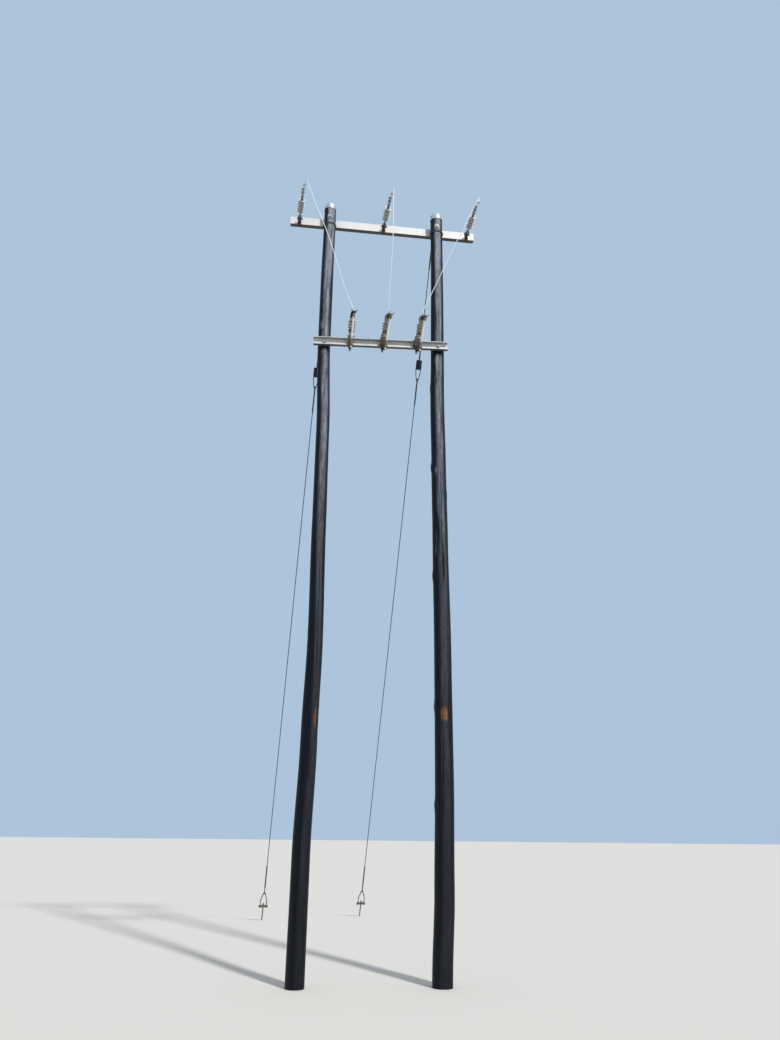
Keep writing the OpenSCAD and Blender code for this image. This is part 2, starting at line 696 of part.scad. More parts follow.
// The fuse tube's castings: below, a split clamp with the trunnion and the flipper;
// above, the contact cap with the hook-stick ring
module fuse_carrier(i) {
    top = cutout_l / 2;
    low = trunnion_z;
    color([0.6, 0.5, 0.36])
    at_cutout(i)
    translate([0, -tube_gap, 0]) {
        difference() {
            union() {
                translate([0, 0, low - 8]) cylinder(r = tube_r + 4.5, h = 44);
                plate_x(soften([
                    [8, low + 34], [8, low - 8], [hinge_back - 2, low - 13], [hinge_back + 10, low - 9],
                    [hinge_back + 11, low + 5], [hinge_back + 2, low + 15], [hinge_back - 6, low + 34]
                ], 5), 22);
                plate_x(soften([[-10, low + 27], [-10, low + 3], [-29, low + 6], [-29, low + 24]], 4), 16);
                translate([0, hinge_back, low]) disc_x(7, 56);
            }
            translate([0, 0, low - 20]) cylinder(r = tube_r + 0.2, h = 80);
            translate([-1.5, -40, low - 10]) cube([3, 30, 60]);
        }
        translate([0, -23, low + 15]) disc_x(3.5, 32);
        translate([8, -23, low + 15]) rotate([0, 90, 0]) cylinder(r = 7, h = 6, $fn = 6);
        plate_x(soften([
            [hinge_back + 6, low - 6], [tube_r + 2, low - 2], [tube_r + 2, low - 33], [-5, low - 37],
            [-5, low - 41], [tube_r + 4, low - 40], [hinge_back + 2, low - 30]
        ], 3), 9);
        difference() {
            union() {
                rotate_extrude()
                    polygon([
                        [tube_r + 0.2, top - 8], [15, top - 8], [15.5, top - 6], [15.5, top + 8],
                        [14, top + 12], [14, top + 26], [15.5, top + 28], [15.5, top + 33],
                        [12, top + 36], [0, top + 36], [0, top + 2], [tube_r + 0.2, top + 2]
                    ]);
                translate([0, -36, top + 8]) disc_x(pull_ring_r + 8, 8);
                plate_x(soften([[-13.5, top - 6], [-13.5, top + 25], [-22, top + 22], [-22, top - 2]], 3), 10);
            }
            translate([0, -36, top + 8]) disc_x(pull_ring_r, 12);
        }
    }
}

// The tube is open at its lower end
module fuse_tube(i) {
    length = cutout_l / 2 - trunnion_z + 31;
    color([0.85, 0.85, 0.8])
    at_cutout(i)
    translate([0, -tube_gap, trunnion_z - 30])
    difference() {
        cylinder(r = tube_r, h = length);
        translate([0, 0, -1]) cylinder(r = tube_r - 4, h = length - 25);
    }
}

// Stays. In a stay's own frame +Z runs down the wire from the tie-off on the pole,
// and Y is level.

function stay_start(side) =
    let (r = trunk_r(side, stay_z) + stay_d / 2 + 1.6, a = STAY_TIE_DEG[side])
    [trunk_x(side, stay_z) + r * cos(a), r * sin(a), stay_z];
function stay_run(side) = STAY_ANCHOR[side] - stay_start(side);
function stay_length(side) = norm(stay_run(side));

module on_stay(side, s) {
    run = stay_run(side);
    translate(stay_start(side))
    rotate([0, acos(run[2] / norm(run)), atan2(run[1], run[0])])
    translate([0, 0, s])
        children();
}

// A wire loop in the XZ plane: a half turn about the origin and two legs that
// close in on the axis at height far, on the side that dir points to
function loop_path(r, straight, far, dir) = concat(
    [for (p = [[-4, far], [-r * 0.55, far * 0.72 + straight * 0.28], [-r, straight]])
        [p[0], 0, dir * p[1]]],
    [for (a = [180 : 22.5 : 360]) [r * cos(a), 0, dir * r * sin(a)]],
    [for (p = [[r, straight], [r * 0.55, far * 0.72 + straight * 0.28], [4, far]])
        [p[0], 0, dir * p[1]]]
);

module stay_top(side) {
    end = STAY_INSULATOR_S[side] - 210;
    wrap_r = trunk_r(side, stay_z) + stay_d / 2 + 1.6;
    color([0.45, 0.46, 0.48]) {
        for (k = [0, 1])
            translate([trunk_x(side, stay_z), 0, stay_z - k * (stay_d + 1)])
            rotate_extrude()
                translate([wrap_r, 0]) circle(r = stay_d / 2);
        on_stay(side, 0) {
            translate([0, 0, 2]) cylinder(r = stay_d / 2 + 4, h = 440);
            translate([0, 0, 440]) cylinder(r = stay_d / 2, h = end - 440);
            translate([0, 0, end - 380]) cylinder(r = stay_d / 2 + 5, h = 390);
        }
        on_stay(side, STAY_INSULATOR_S[side] + 12)
            bar(loop_path(loop_r, 90, 250, -1), stay_d / 2, [0, 1, 0]);
    }
}

module stay_insulator(side) {
    h = stay_insulator_l / 2;
    r = stay_insulator_r;
    groove = stay_d / 2 + 2;
    color([0.2, 0.13, 0.12])
    on_stay(side, STAY_INSULATOR_S[side])
    difference() {
        rotate_extrude()
            polygon([[0, -h], [r - 8, -h], [r, -h + 8], [r, -10], [r - 6, -4], [r - 6, 4],
                     [r, 10], [r, h - 8], [r - 8, h], [0, h]]);
        for (turn = [0, 1])
            rotate([turn * 180, 0, turn * 90]) {
                translate([0, 0, 12]) rotate([90, 0, 0])
                    rotate_extrude(angle = 180) translate([loop_r, 0]) circle(r = groove);
                for (s = [-1, 1])
                    translate([s * loop_r, 0, -h - 1]) cylinder(r = groove, h = h + 13);
            }
    }
}

module stay_wire(side) {
    start = STAY_INSULATOR_S[side] + 210;
    bow = stay_length(side) - bow_s;
    color([0.45, 0.46, 0.48]) {
        on_stay(side, STAY_INSULATOR_S[side] - 12)
            rotate([0, 0, 90]) bar(loop_path(loop_r, 90, 250, 1), stay_d / 2, [0, 1, 0]);
        on_stay(side, start - 10) {
            cylinder(r = stay_d / 2 + 5, h = 390);
            translate([0, 0, 380]) cylinder(r = stay_d / 2, h = bow - start - 490);
            translate([0, 0, bow - start - 500]) cylinder(r = stay_d / 2 + 5, h = 400);
        }
        on_stay(side, bow - 2)
            bar(loop_path(17, 30, 150, -1), stay_d / 2, [0, 1, 0]);
    }
}

module stay_bow(side) {
    l = stay_length(side);
    leg = bow_s - crosshead_s;
    color([0.5, 0.5, 0.5])
    on_stay(side, l - bow_s)
    union() {
        bar([
            [0, -bow_w, leg + 40], [0, -bow_w, leg - 100], [0, -bow_w * 0.7, leg - 160],
            [0, -20, 30], [0, -15, 9], [0, -8, 2], [0, 0, 0], [0, 8, 2], [0, 15, 9],
            [0, 20, 30], [0, bow_w * 0.7, leg - 160], [0, bow_w, leg - 100], [0, bow_w, leg + 40]
        ], 8, [1, 0, 0]);
        difference() {
            translate([-17, -bow_w - 26, leg]) cube([34, 2 * bow_w + 52, 20]);
            translate([0, 0, leg - 5]) cylinder(r = 11, h = 30);
        }
        for (s = [-1, 1])
            translate([0, s * bow_w, leg + 20]) cylinder(r = 14, h = 12, $fn = 6);
    }
}

module stay_rod(side) {
    l = stay_length(side);
    color([0.42, 0.38, 0.34])
    difference() {
        on_stay(side, l - crosshead_s) {
            translate([0, 0, -50]) cylinder(r = 10, h = crosshead_s + 120);
            translate([0, 0, -18]) cylinder(r = 18, h = 16, $fn = 6);
        }
        translate(STAY_ANCHOR[side] - [300, 300, 600]) cube(600);
    }
}

pole(0);  // pole_left
pole(1);  // pole_right
pole_cap(0);  // pole_cap_left
pole_cap(1);  // pole_cap_right
upper_arm();
lower_arm();
upper_arm_bolts();
lower_arm_bolts();
for (i = [0 : 2]) {
    strain_bracket(i);
    shackle(i);
    strain_insulator(i);
    strain_clamp(i);
    line_tap(i);
    jumper(i);
    cutout_bracket(i);
    cutout_insulator(i);
    cutout_irons(i);
    fuse_carrier(i);
    fuse_tube(i);
}
for (side = [0, 1]) {
    stay_top(side);
    stay_insulator(side);
    stay_wire(side);
    stay_bow(side);
    stay_rod(side);
}
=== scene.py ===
import bpy
import math
import numpy as np
from mathutils import Matrix


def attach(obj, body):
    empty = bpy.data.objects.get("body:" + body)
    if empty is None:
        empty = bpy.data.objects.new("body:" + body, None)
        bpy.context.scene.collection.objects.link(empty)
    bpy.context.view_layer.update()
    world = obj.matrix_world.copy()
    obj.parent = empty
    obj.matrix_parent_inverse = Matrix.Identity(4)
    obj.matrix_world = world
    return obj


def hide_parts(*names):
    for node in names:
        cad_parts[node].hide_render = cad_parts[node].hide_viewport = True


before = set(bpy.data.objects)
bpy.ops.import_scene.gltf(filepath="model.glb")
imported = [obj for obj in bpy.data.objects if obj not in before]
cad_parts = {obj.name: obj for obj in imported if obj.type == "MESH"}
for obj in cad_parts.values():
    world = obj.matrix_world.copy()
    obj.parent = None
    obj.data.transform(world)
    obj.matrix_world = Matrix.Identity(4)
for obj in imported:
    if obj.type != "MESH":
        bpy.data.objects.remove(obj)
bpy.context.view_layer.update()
scene = bpy.context.scene
scene.view_settings.view_transform = "Standard"
sides = ["left", "middle", "right"]


# turn by deg about x, y or z: cos on the diagonal of the other two axes, -sin and sin beside it
def turn(axis, deg):
    i, j = (("xyz".index(axis) + k) % 3 for k in (1, 2))
    m, a = np.eye(3), math.radians(deg)
    m[i, i] = m[j, j] = math.cos(a)
    m[i, j], m[j, i] = -math.sin(a), math.sin(a)
    return m


# each vector over its own length
def unit(v):
    v = np.asarray(v, float)
    return v / np.linalg.norm(v, axis=-1, keepdims=True)


# camera: its place and turn come from the vanishing points of the poles and the arms
camera = {"place": (0.0086, -9.2887, 1.6), "yaw": 5.5, "pitch": 20.234, "roll": 0.704,
          "focal": 812.0, "longSide": 1040, "farEnd": 200}    # focal and longSide in pixels


# the view runs along +Y, is pitched up, turned to the right by yaw and rolled about its own line
def makeCamera(c):
    m = np.eye(4)
    m[:3, :3] = turn("z", -c["yaw"]) @ turn("x", 90 + c["pitch"]) @ turn("z", c["roll"])
    m[:3, 3] = c["place"]
    data = bpy.data.cameras.new("camera")
    data.lens = c["focal"] * data.sensor_width / c["longSide"]
    data.clip_end = c["farEnd"]
    thing = bpy.data.objects.new("camera", data)
    thing.matrix_world = Matrix(m.tolist())
    scene.collection.objects.link(thing)
    scene.camera = thing


makeCamera(camera)
print("camera done")


# mesh tools: a shell is an array of points with a list of faces

# rings of points, rows by columns, joined by quads; each ring closes on itself, and a shut end has a face
def skin(rings, shut=(True, True), loop=False):
    rings = np.asarray(rings, float)
    rows, cols = rings.shape[:2]
    r, c = np.meshgrid(np.arange(rows if loop else rows - 1), np.arange(cols), indexing="ij")
    n, up = (c + 1) % cols, (r + 1) % rows
    faces = np.stack([r * cols + c, r * cols + n, up * cols + n, up * cols + c], -1)
    faces = faces.reshape(-1, 4).tolist()
    ends = [range(cols)[::-1], range((rows - 1) * cols, rows * cols)]
    faces += [list(end) for end, face in zip(ends, shut) if face and not loop]
    return rings.reshape(-1, 3), faces


# points times the axes, then plus the place, for one shell or a list of them
def moved(shell, place=(0, 0, 0), axes=None):
    if isinstance(shell, list):
        return [moved(s, place, axes) for s in shell]
    points = shell[0] if axes is None else shell[0] @ np.asarray(axes).T
    return points + np.asarray(place, float), shell[1]


# one piece from one or more shells, riding on a body of the frame
def putMesh(name, shells, material, body="structure", replaces=None, sharp=35, attributes=None):
    shells = shells if isinstance(shells, list) else [shells]
    starts = np.cumsum([0] + [len(s[0]) for s in shells])
    points = np.vstack([s[0] for s in shells])
    faces = [[int(start) + v for v in face] for s, start in zip(shells, starts) for face in s[1]]
    mesh = bpy.data.meshes.new(name)
    mesh.from_pydata(points.tolist(), [], faces)
    mesh.polygons.foreach_set("use_smooth", np.ones(len(mesh.polygons), bool))
    for key, values in (attributes or {}).items():
        values = np.asarray(values, float).ravel()
        mesh.attributes.new(key, "FLOAT", "POINT").data.foreach_set("value", values)
    mesh.materials.append(material)
    mesh.update()
    mesh.set_sharp_from_angle(angle=math.radians(sharp))
    thing = bpy.data.objects.new(name, mesh)
    scene.collection.objects.link(thing)
    if body:
        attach(thing, body)
    if replaces:
        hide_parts(replaces)
    return thing


square = np.array([(-1, -1), (1, -1), (1, 1), (-1, 1)])    # a plate's corners, in half sides


# equal steps of a full turn
def angles(count):
    return np.linspace(0, 2 * math.pi, count, endpoint=False)


# rows of (radii, height) put on the rays at the angles a: (r cos a, r sin a, z)
def rayRings(rows, a):
    return np.array([np.stack([r * np.cos(a), r * np.sin(a), 0 * a + z], -1) for r, z in rows])


# a profile of (radius, height) turned about local Z: (r cos a, r sin a, h)
def spun(profile, turns=64):
    return skin(rayRings(profile, angles(turns)))


# each corner b between a and c becomes the curve (1-t)^2 u + 2t(1-t) b + t^2 v, with u and v at radius
# from b, or at 0.45 of a shorter side
def softened(corners, radius, steps=4, closed=False):
    p = np.asarray(corners, float)
    if closed:
        a, b, c = np.roll(p, 1, 0), p, np.roll(p, -1, 0)
    else:
        a, b, c = p[:-2], p[1:-1], p[2:]
    u, v = (b + unit(d) * np.minimum(radius, 0.45 * np.linalg.norm(d, axis=1, keepdims=True))
            for d in (a - b, c - b))
    t = np.linspace(0, 1, steps)[None, :, None]
    curve = (1 - t) ** 2 * u[:, None] + 2 * t * (1 - t) * b[:, None] + t ** 2 * v[:, None]
    curve = curve.reshape(-1, p.shape[1])
    return curve if closed else np.vstack([p[:1], curve, p[-1:]])


# a plate in local XY, from 0 to thickness along Z, with its rims cut back by bevel
def slab(outline, thickness, bevel):
    o = np.asarray(outline, float)
    small = o * (1 - bevel / np.abs(o).max())
    rows = [(small, 0), (o, bevel), (o, thickness - bevel), (small, thickness)]
    return skin([np.c_[p, np.full(len(p), z)] for p, z in rows])


# nut or head: radius = corner cos30 / cos(angle within a side), cut by a round chamfer
def hexagon(corner, height, cols=72):
    a = angles(cols)
    side = corner * math.cos(math.pi / 6) / np.cos(np.mod(a, math.pi / 3) - math.pi / 6)
    cut = np.minimum(side, 0.91 * corner)
    drop = 0.07 * corner
    return skin(rayRings([(cut, 0), (side, drop), (side, height - drop), (cut, height)], a))


# a rod whose radius falls by a triangle wave of height plus angle, which makes the helix
def threaded(radius, length, pitch, cols=24):
    z = np.linspace(0, length, int(length / pitch * 6) + 1)
    a = angles(cols)
    zz, aa = np.meshgrid(z, a, indexing="ij")
    wave = np.abs(np.mod(zz / pitch + aa / (2 * math.pi), 1) * 2 - 1)
    end = np.clip((length - zz) / (0.8 * pitch), 0.55, 1)
    r = (radius - 0.5 * pitch * wave) * np.where(zz > length - pitch, end, 1)
    return skin(np.stack([r * np.cos(aa), r * np.sin(aa), zz], -1))


# a round eye in local XY with a straight neck towards +X and a hole: the outer radius is the larger of
# the circle and the neck's rectangle along each ray
def eyePlate(radius, neck, reach, hole, thickness, bevel=0.0012, cols=96):
    a = angles(cols)
    ray = np.minimum(reach / np.maximum(np.cos(a), 1e-6), neck / np.maximum(np.abs(np.sin(a)), 1e-6))
    out = np.maximum(radius, np.where(np.cos(a) > 0, ray, 0))
    h = thickness / 2
    inner = np.full(cols, hole)
    rows = [(inner, -h + bevel), (inner + bevel, -h), (out - bevel, -h), (out, -h + bevel),
            (out, h - bevel), (out - bevel, h), (inner + bevel, h), (inner, h - bevel)]
    return skin(rayRings(rows, a), loop=True)


# a cubic through the points b and c of each span, whose slope at a point is half the step between the
# points on its two sides
def smoothRoute(points, steps):
    p = np.asarray(points, float)
    a, b, c, d = (p[np.clip(np.arange(len(p) - 1) + k, 0, len(p) - 1)][:, None, :] for k in (-1, 0, 1, 2))
    t = (np.arange(steps) / steps)[None, :, None]
    second, third = 2 * a - 5 * b + 4 * c - d, 3 * b - a - 3 * c + d
    mid = 0.5 * (2 * b + (c - a) * t + second * t ** 2 + third * t ** 3)
    return np.vstack([mid.reshape(-1, 3), p[-1:]])


# the route cut again into equal lengths near spacing, and the length run at each point
def evenRoute(route, spacing):
    route = np.asarray(route, float)
    run = np.r_[0, np.cumsum(np.linalg.norm(np.diff(route, axis=0), axis=1))]
    s = np.linspace(0, run[-1], max(2, int(round(run[-1] / spacing))) + 1)
    return np.stack([np.interp(s, run, part) for part in route.T], 1), s


# a bar along a route; with wires, its edge is radius (1 - depth + depth |cos(wires/2 (angle - twist))|)
# and the twist makes one turn every pitch metres
def swept(route, s, radius, across, wires=0, pitch=0.1, cols=24, depth=0.18):
    t = unit(np.gradient(route, axis=0))
    u = unit(np.cross(np.asarray(across, float), t))
    v = np.cross(t, u)
    a = angles(cols)[None, :]
    r = np.full((len(route), cols), radius)
    if wires:
        lobe = np.abs(np.cos(wires / 2 * (a - (2 * math.pi * s / pitch)[:, None])))
        r = r * (1 - depth + depth * lobe)
    ring = np.cos(a)[..., None] * u[:, None] + np.sin(a)[..., None] * v[:, None]
    return skin(route[:, None, :] + r[..., None] * ring)


# shader tools

# an empty node group with number sockets
def newGroup(name, inputs, output):
    g = bpy.data.node_groups.new(name, "ShaderNodeTree")
    for key in inputs + [output]:
        way = "OUTPUT" if key == output else "INPUT"
        g.interface.new_socket(name=key, in_out=way, socket_type="NodeSocketFloat")
    return g, g.nodes.new("NodeGroupInput").outputs, g.nodes.new("NodeGroupOutput").inputs


# a shader node whose sockets take links or fixed values
def node(tree, kind, sockets=None, **settings):
    n = tree.nodes.new("ShaderNode" + kind)
    for key, value in settings.items():
        setattr(n, key, value)
    for key, value in (sockets or {}).items():
        if isinstance(value, bpy.types.NodeSocket):
            tree.links.new(value, n.inputs[key])
        else:
            n.inputs[key].default_value = value
    return n


# one sum, product or such of a and b
def maths(tree, operation, a, b=0.0):
    return node(tree, "Math", {0: a, 1: b}, operation=operation).outputs[0]


# a + amount mask (b - a), of colours given as sockets or as red, green and blue
def colourMix(tree, mask, a, b, amount=None):
    if amount is not None:
        mask = maths(tree, "MULTIPLY", mask, amount)
    a, b = (c if isinstance(c, bpy.types.NodeSocket) else (*c, 1.0) for c in (a, b))
    return node(tree, "Mix", {0: mask, 6: a, 7: b}, data_type="RGBA").outputs[2]


# low + mask (high - low)
def between(tree, mask, low, high):
    return node(tree, "MapRange", {0: mask, 3: low, 4: high}).outputs[0]


# (value - start) / (end - start), cut at 0 and 1
def levels(tree, value, start, end):
    return node(tree, "MapRange", {0: value, 1: start, 2: end}).outputs[0]


# where a point lies in the piece's own frame
def ownPlace(tree):
    return node(tree, "TexCoord").outputs["Object"]


# one part of a vector: 0, 1 or 2 for x, y or z
def vectorPart(tree, vector, axis):
    return node(tree, "SeparateXYZ", {0: vector}).outputs[axis]


# noise at (x, y, stretch z), cut between two levels
def makeNoise():
    g, i, o = newGroup("noise", ["Scale", "Stretch", "From", "To"], "Mask")
    squeeze = node(g, "CombineXYZ", {0: 1.0, 1: 1.0, 2: i["Stretch"]}).outputs[0]
    where = node(g, "VectorMath", {0: ownPlace(g), 1: squeeze}, operation="MULTIPLY").outputs[0]
    settings = {"Vector": where, "Scale": i["Scale"], "Detail": 6.0, "Roughness": 0.6}
    noise = node(g, "TexNoise", settings).outputs[0]
    g.links.new(levels(g, noise, i["From"], i["To"]), o["Mask"])
    return g


# crystals of a zinc coat: each cell of a pattern of random cells has one level
def makeSpangle():
    g, i, o = newGroup("spangle", ["Scale"], "Level")
    cells = node(g, "TexVoronoi", {"Vector": ownPlace(g), "Scale": i["Scale"]})
    g.links.new(node(g, "RGBToBW", {0: cells.outputs["Color"]}).outputs[0], o["Level"])
    return g


# how far a face looks down, the mask of painted shade on undersides: 0 for walls and tops, 1 below, from
# the normal's Z and a little noise
def makeUndersideShade():
    g, i, o = newGroup("undersideShade", ["Scale", "From", "To"], "Mask")
    normal = node(g, "NewGeometry").outputs["Normal"]
    down = maths(g, "MULTIPLY", vectorPart(g, normal, 2), -1.0)
    settings = {"Vector": ownPlace(g), "Scale": i["Scale"], "Detail": 5.0}
    noise = node(g, "TexNoise", settings).outputs[0]
    ragged = maths(g, "ADD", down, maths(g, "SUBTRACT", noise, 0.5))
    g.links.new(levels(g, ragged, i["From"], i["To"]), o["Mask"])
    return g


groups = {"noise": makeNoise(), "spangle": makeSpangle(), "undersideShade": makeUndersideShade()}


# a group's output with its settings
def use(tree, group, **values):
    return node(tree, "Group", values, node_tree=groups[group]).outputs[0]


# patches of noise between two levels, or run marks where stretch is small
def noiseMask(tree, scale, start, end, stretch=1.0):
    return use(tree, "noise", Scale=scale, Stretch=stretch, From=start, To=end)


# a material, its tree and its shader, whose fixed values stand on its own sockets
def newMaterial(name, **fixed):
    m = bpy.data.materials.new(name)
    m.use_nodes = True
    shader = m.node_tree.nodes["Principled BSDF"]
    for key, value in fixed.items():
        shader.inputs[key.replace("_", " ")].default_value = value
    return m, m.node_tree, shader


# links colour, roughness and a bump, height times distance, to the shader
def finish(tree, shader, colour, roughness, height, strength, distance):
    tree.links.new(colour, shader.inputs["Base Color"])
    tree.links.new(roughness, shader.inputs["Roughness"])
    bump = node(tree, "Bump", {"Strength": strength, "Distance": distance, "Height": height})
    tree.links.new(bump.outputs[0], shader.inputs["Normal"])


wood = {"tar": (0.0025, 0.003, 0.006), "tarLight": (0.008, 0.009, 0.015), "bloom": (0.072, 0.086, 0.112),
        "bloomLight": (0.1, 0.1, 0.125), "grey": (0.21, 0.25, 0.29), "greyLight": (0.38, 0.43, 0.47),
        "stain": (0.105, 0.11, 0.115), "bare": (0.1, 0.035, 0.012), "bareLight": (0.4, 0.18, 0.06),
        "crack": (0.003, 0.003, 0.004), "specular": 0.13}


# creosote: near-black streaks, with a bleached side that also carries painted sheen and painted shadows,
# cracks and bare scars from the mesh's attributes
def makePoleWood(w):
    m, t, s = newMaterial("creosotedWood", Metallic=0.0, Specular_IOR_Level=w["specular"])
    fine = noiseMask(t, 95.0, 0.35, 0.7, 0.03)
    thin = noiseMask(t, 130.0, 0.52, 0.64, 0.012)
    grain = noiseMask(t, 210.0, 0.3, 0.7, 0.05)
    wide = noiseMask(t, 26.0, 0.42, 0.72, 0.06)
    mottle = noiseMask(t, 44.0, 0.38, 0.62, 0.3)
    mark = {k: node(t, "Attribute", attribute_name=k).outputs["Fac"]
            for k in ("bleachAndPaintedLight", "bleachAndSheenBand", "scar", "crack")}
    tar = colourMix(t, fine, w["tar"], w["tarLight"])
    drawn, faded = between(t, mark["bleachAndSheenBand"], 0.04, 0.5), levels(t, mark["bleachAndPaintedLight"], -0.12, 0.3)
    bloomed = maths(t, "MULTIPLY", drawn, faded)
    tar = colourMix(t, thin, tar, w["bloom"], bloomed)
    grey = colourMix(t, fine, w["grey"], w["greyLight"])
    grey = colourMix(t, wide, grey, w["stain"], 0.5)
    # the bleached band, which is also painted sheen, follows the grain: its mask + 0.55 mask (streak + 0.7
    # grain - 0.85), and is mottled
    ragged = maths(t, "SUBTRACT", maths(t, "ADD", fine, maths(t, "MULTIPLY", grain, 0.7)), 0.85)
    ragged = maths(t, "MULTIPLY", ragged, between(t, mark["bleachAndPaintedLight"], 0.0, 0.55))
    uneven = maths(t, "MULTIPLY", maths(t, "SUBTRACT", mottle, 0.5), between(t, mark["bleachAndPaintedLight"], 0.0, 0.4))
    pale = maths(t, "ADD", mark["bleachAndPaintedLight"], maths(t, "ADD", ragged, uneven))
    c = colourMix(t, levels(t, pale, 0.0, 0.4), tar, colourMix(t, fine, w["bloom"], w["bloomLight"]))
    c = colourMix(t, levels(t, pale, 0.3, 0.95), c, grey)
    c = colourMix(t, mark["scar"], c, colourMix(t, fine, w["bare"], w["bareLight"]))
    c = colourMix(t, mark["crack"], c, w["crack"])
    rough = between(t, maths(t, "MAXIMUM", mark["bleachAndPaintedLight"], mark["scar"]), 0.42, 0.75)
    finish(t, s, c, rough, maths(t, "ADD", grain, maths(t, "ADD", fine, wide)), 0.6, 0.0016)
    return m


# zinc with spangle and run marks, and painted shade with rust patches in it on the faces that look down;
# under the flange above the edge z = level + slope x that painted shade is a lighter one
def makeGalvanised(name, tone, grime, shadeTone, rust, edge, lighterShadeTone):
    m, t, s = newMaterial(name, Metallic=0.25)

    def shade(*parts):
        return [tone * part for part in parts]

    grain = use(t, "spangle", Scale=75.0)
    stain = noiseMask(t, 7.0, 0.5, 0.75)
    runs = noiseMask(t, 34.0, 0.55, 0.8, 0.15)
    # mask of painted shade on the faces that look down
    down = use(t, "undersideShade", Scale=9.0, From=0.2, To=0.75)
    patch = noiseMask(t, 5.5, 0.5, 0.7)
    c = colourMix(t, grain, shade(0.93, 0.93, 0.94), shade(1, 1, 0.99))
    c = colourMix(t, stain, c, shade(0.75, 0.7, 0.62), 0.3)
    c = colourMix(t, runs, c, shade(0.45, 0.38, 0.3), grime)
    # the painted shade's tone with rust patches, lighter under the flange above the edge
    shadeAndRust = colourMix(t, patch, shadeTone, rust)
    along, up = (vectorPart(t, ownPlace(t), axis) for axis in (0, 2))
    height = maths(t, "SUBTRACT", up, maths(t, "MULTIPLY", along, edge[1]))
    shadeAndRust = colourMix(t, levels(t, height, edge[0] - 0.01, edge[0] + 0.01), shadeAndRust, lighterShadeTone)
    c = colourMix(t, down, c, shadeAndRust)
    rough = between(t, maths(t, "MAXIMUM", grain, down), 0.4, 0.65)
    finish(t, s, c, rough, grain, 0.08, 0.0004)
    return m


# two rust tones in patches, with fine dark pitting
def makeRusty(name, dark, light):
    m, t, s = newMaterial(name, Metallic=0.15)
    coarse = noiseMask(t, 40.0, 0.4, 0.65)
    fine = noiseMask(t, 170.0, 0.35, 0.7)
    c = colourMix(t, coarse, dark, light)
    c = colourMix(t, fine, c, (0.05, 0.045, 0.042), 0.5)
    finish(t, s, c, between(t, fine, 0.6, 0.85), fine, 0.3, 0.0008)
    return m


# metal with dull patches, fine pitting and, where asked, rust in the patches' hearts and soot low down
def makeMetal(name, colour, metallic, rough, dirt, rust=0.0, patches=34.0, sooty=None):
    m, t, s = newMaterial(name, Metallic=metallic)
    stain = noiseMask(t, patches, 0.45, 0.7)
    heart = noiseMask(t, patches, 0.58, 0.72)
    fine = noiseMask(t, 220.0, 0.3, 0.75)
    c = colourMix(t, stain, colour, [0.4 * part for part in colour], dirt)
    c = colourMix(t, heart, c, (0.16, 0.07, 0.03), rust)
    if sooty:
        c = colourMix(t, levels(t, vectorPart(t, ownPlace(t), 2), *sooty), (0.045, 0.04, 0.036), c)
    finish(t, s, c, between(t, stain, rough, rough + 0.22), fine, 0.12, 0.0004)
    return m


# glaze, rubber or paint with dust in patches and in run marks, darkened where the mesh's attribute says so;
# that attribute is painted shade near the strain insulators' rods, a rust stain on the fuse tubes, and
# darkening towards the porcelains' feet and cores
def makeCoat(name, colour, dirtColour, rough, dirt, specular=0.5):
    m, t, s = newMaterial(name, Metallic=0.0, Specular_IOR_Level=specular)
    # the attribute's darkening, which is painted shade on the strain insulators
    deep = node(t, "Attribute", attribute_name="dirt").outputs["Fac"]
    dust = noiseMask(t, 28.0, 0.42, 0.7)
    runs = noiseMask(t, 60.0, 0.5, 0.75, 0.15)
    c = colourMix(t, dust, colour, dirtColour, dirt)
    c = colourMix(t, runs, c, dirtColour, 0.6 * dirt)
    c = colourMix(t, deep, c, dirtColour)
    finish(t, s, c, between(t, dust, rough, min(1.0, rough + 0.2)), dust, 0.1, 0.0005)
    return m


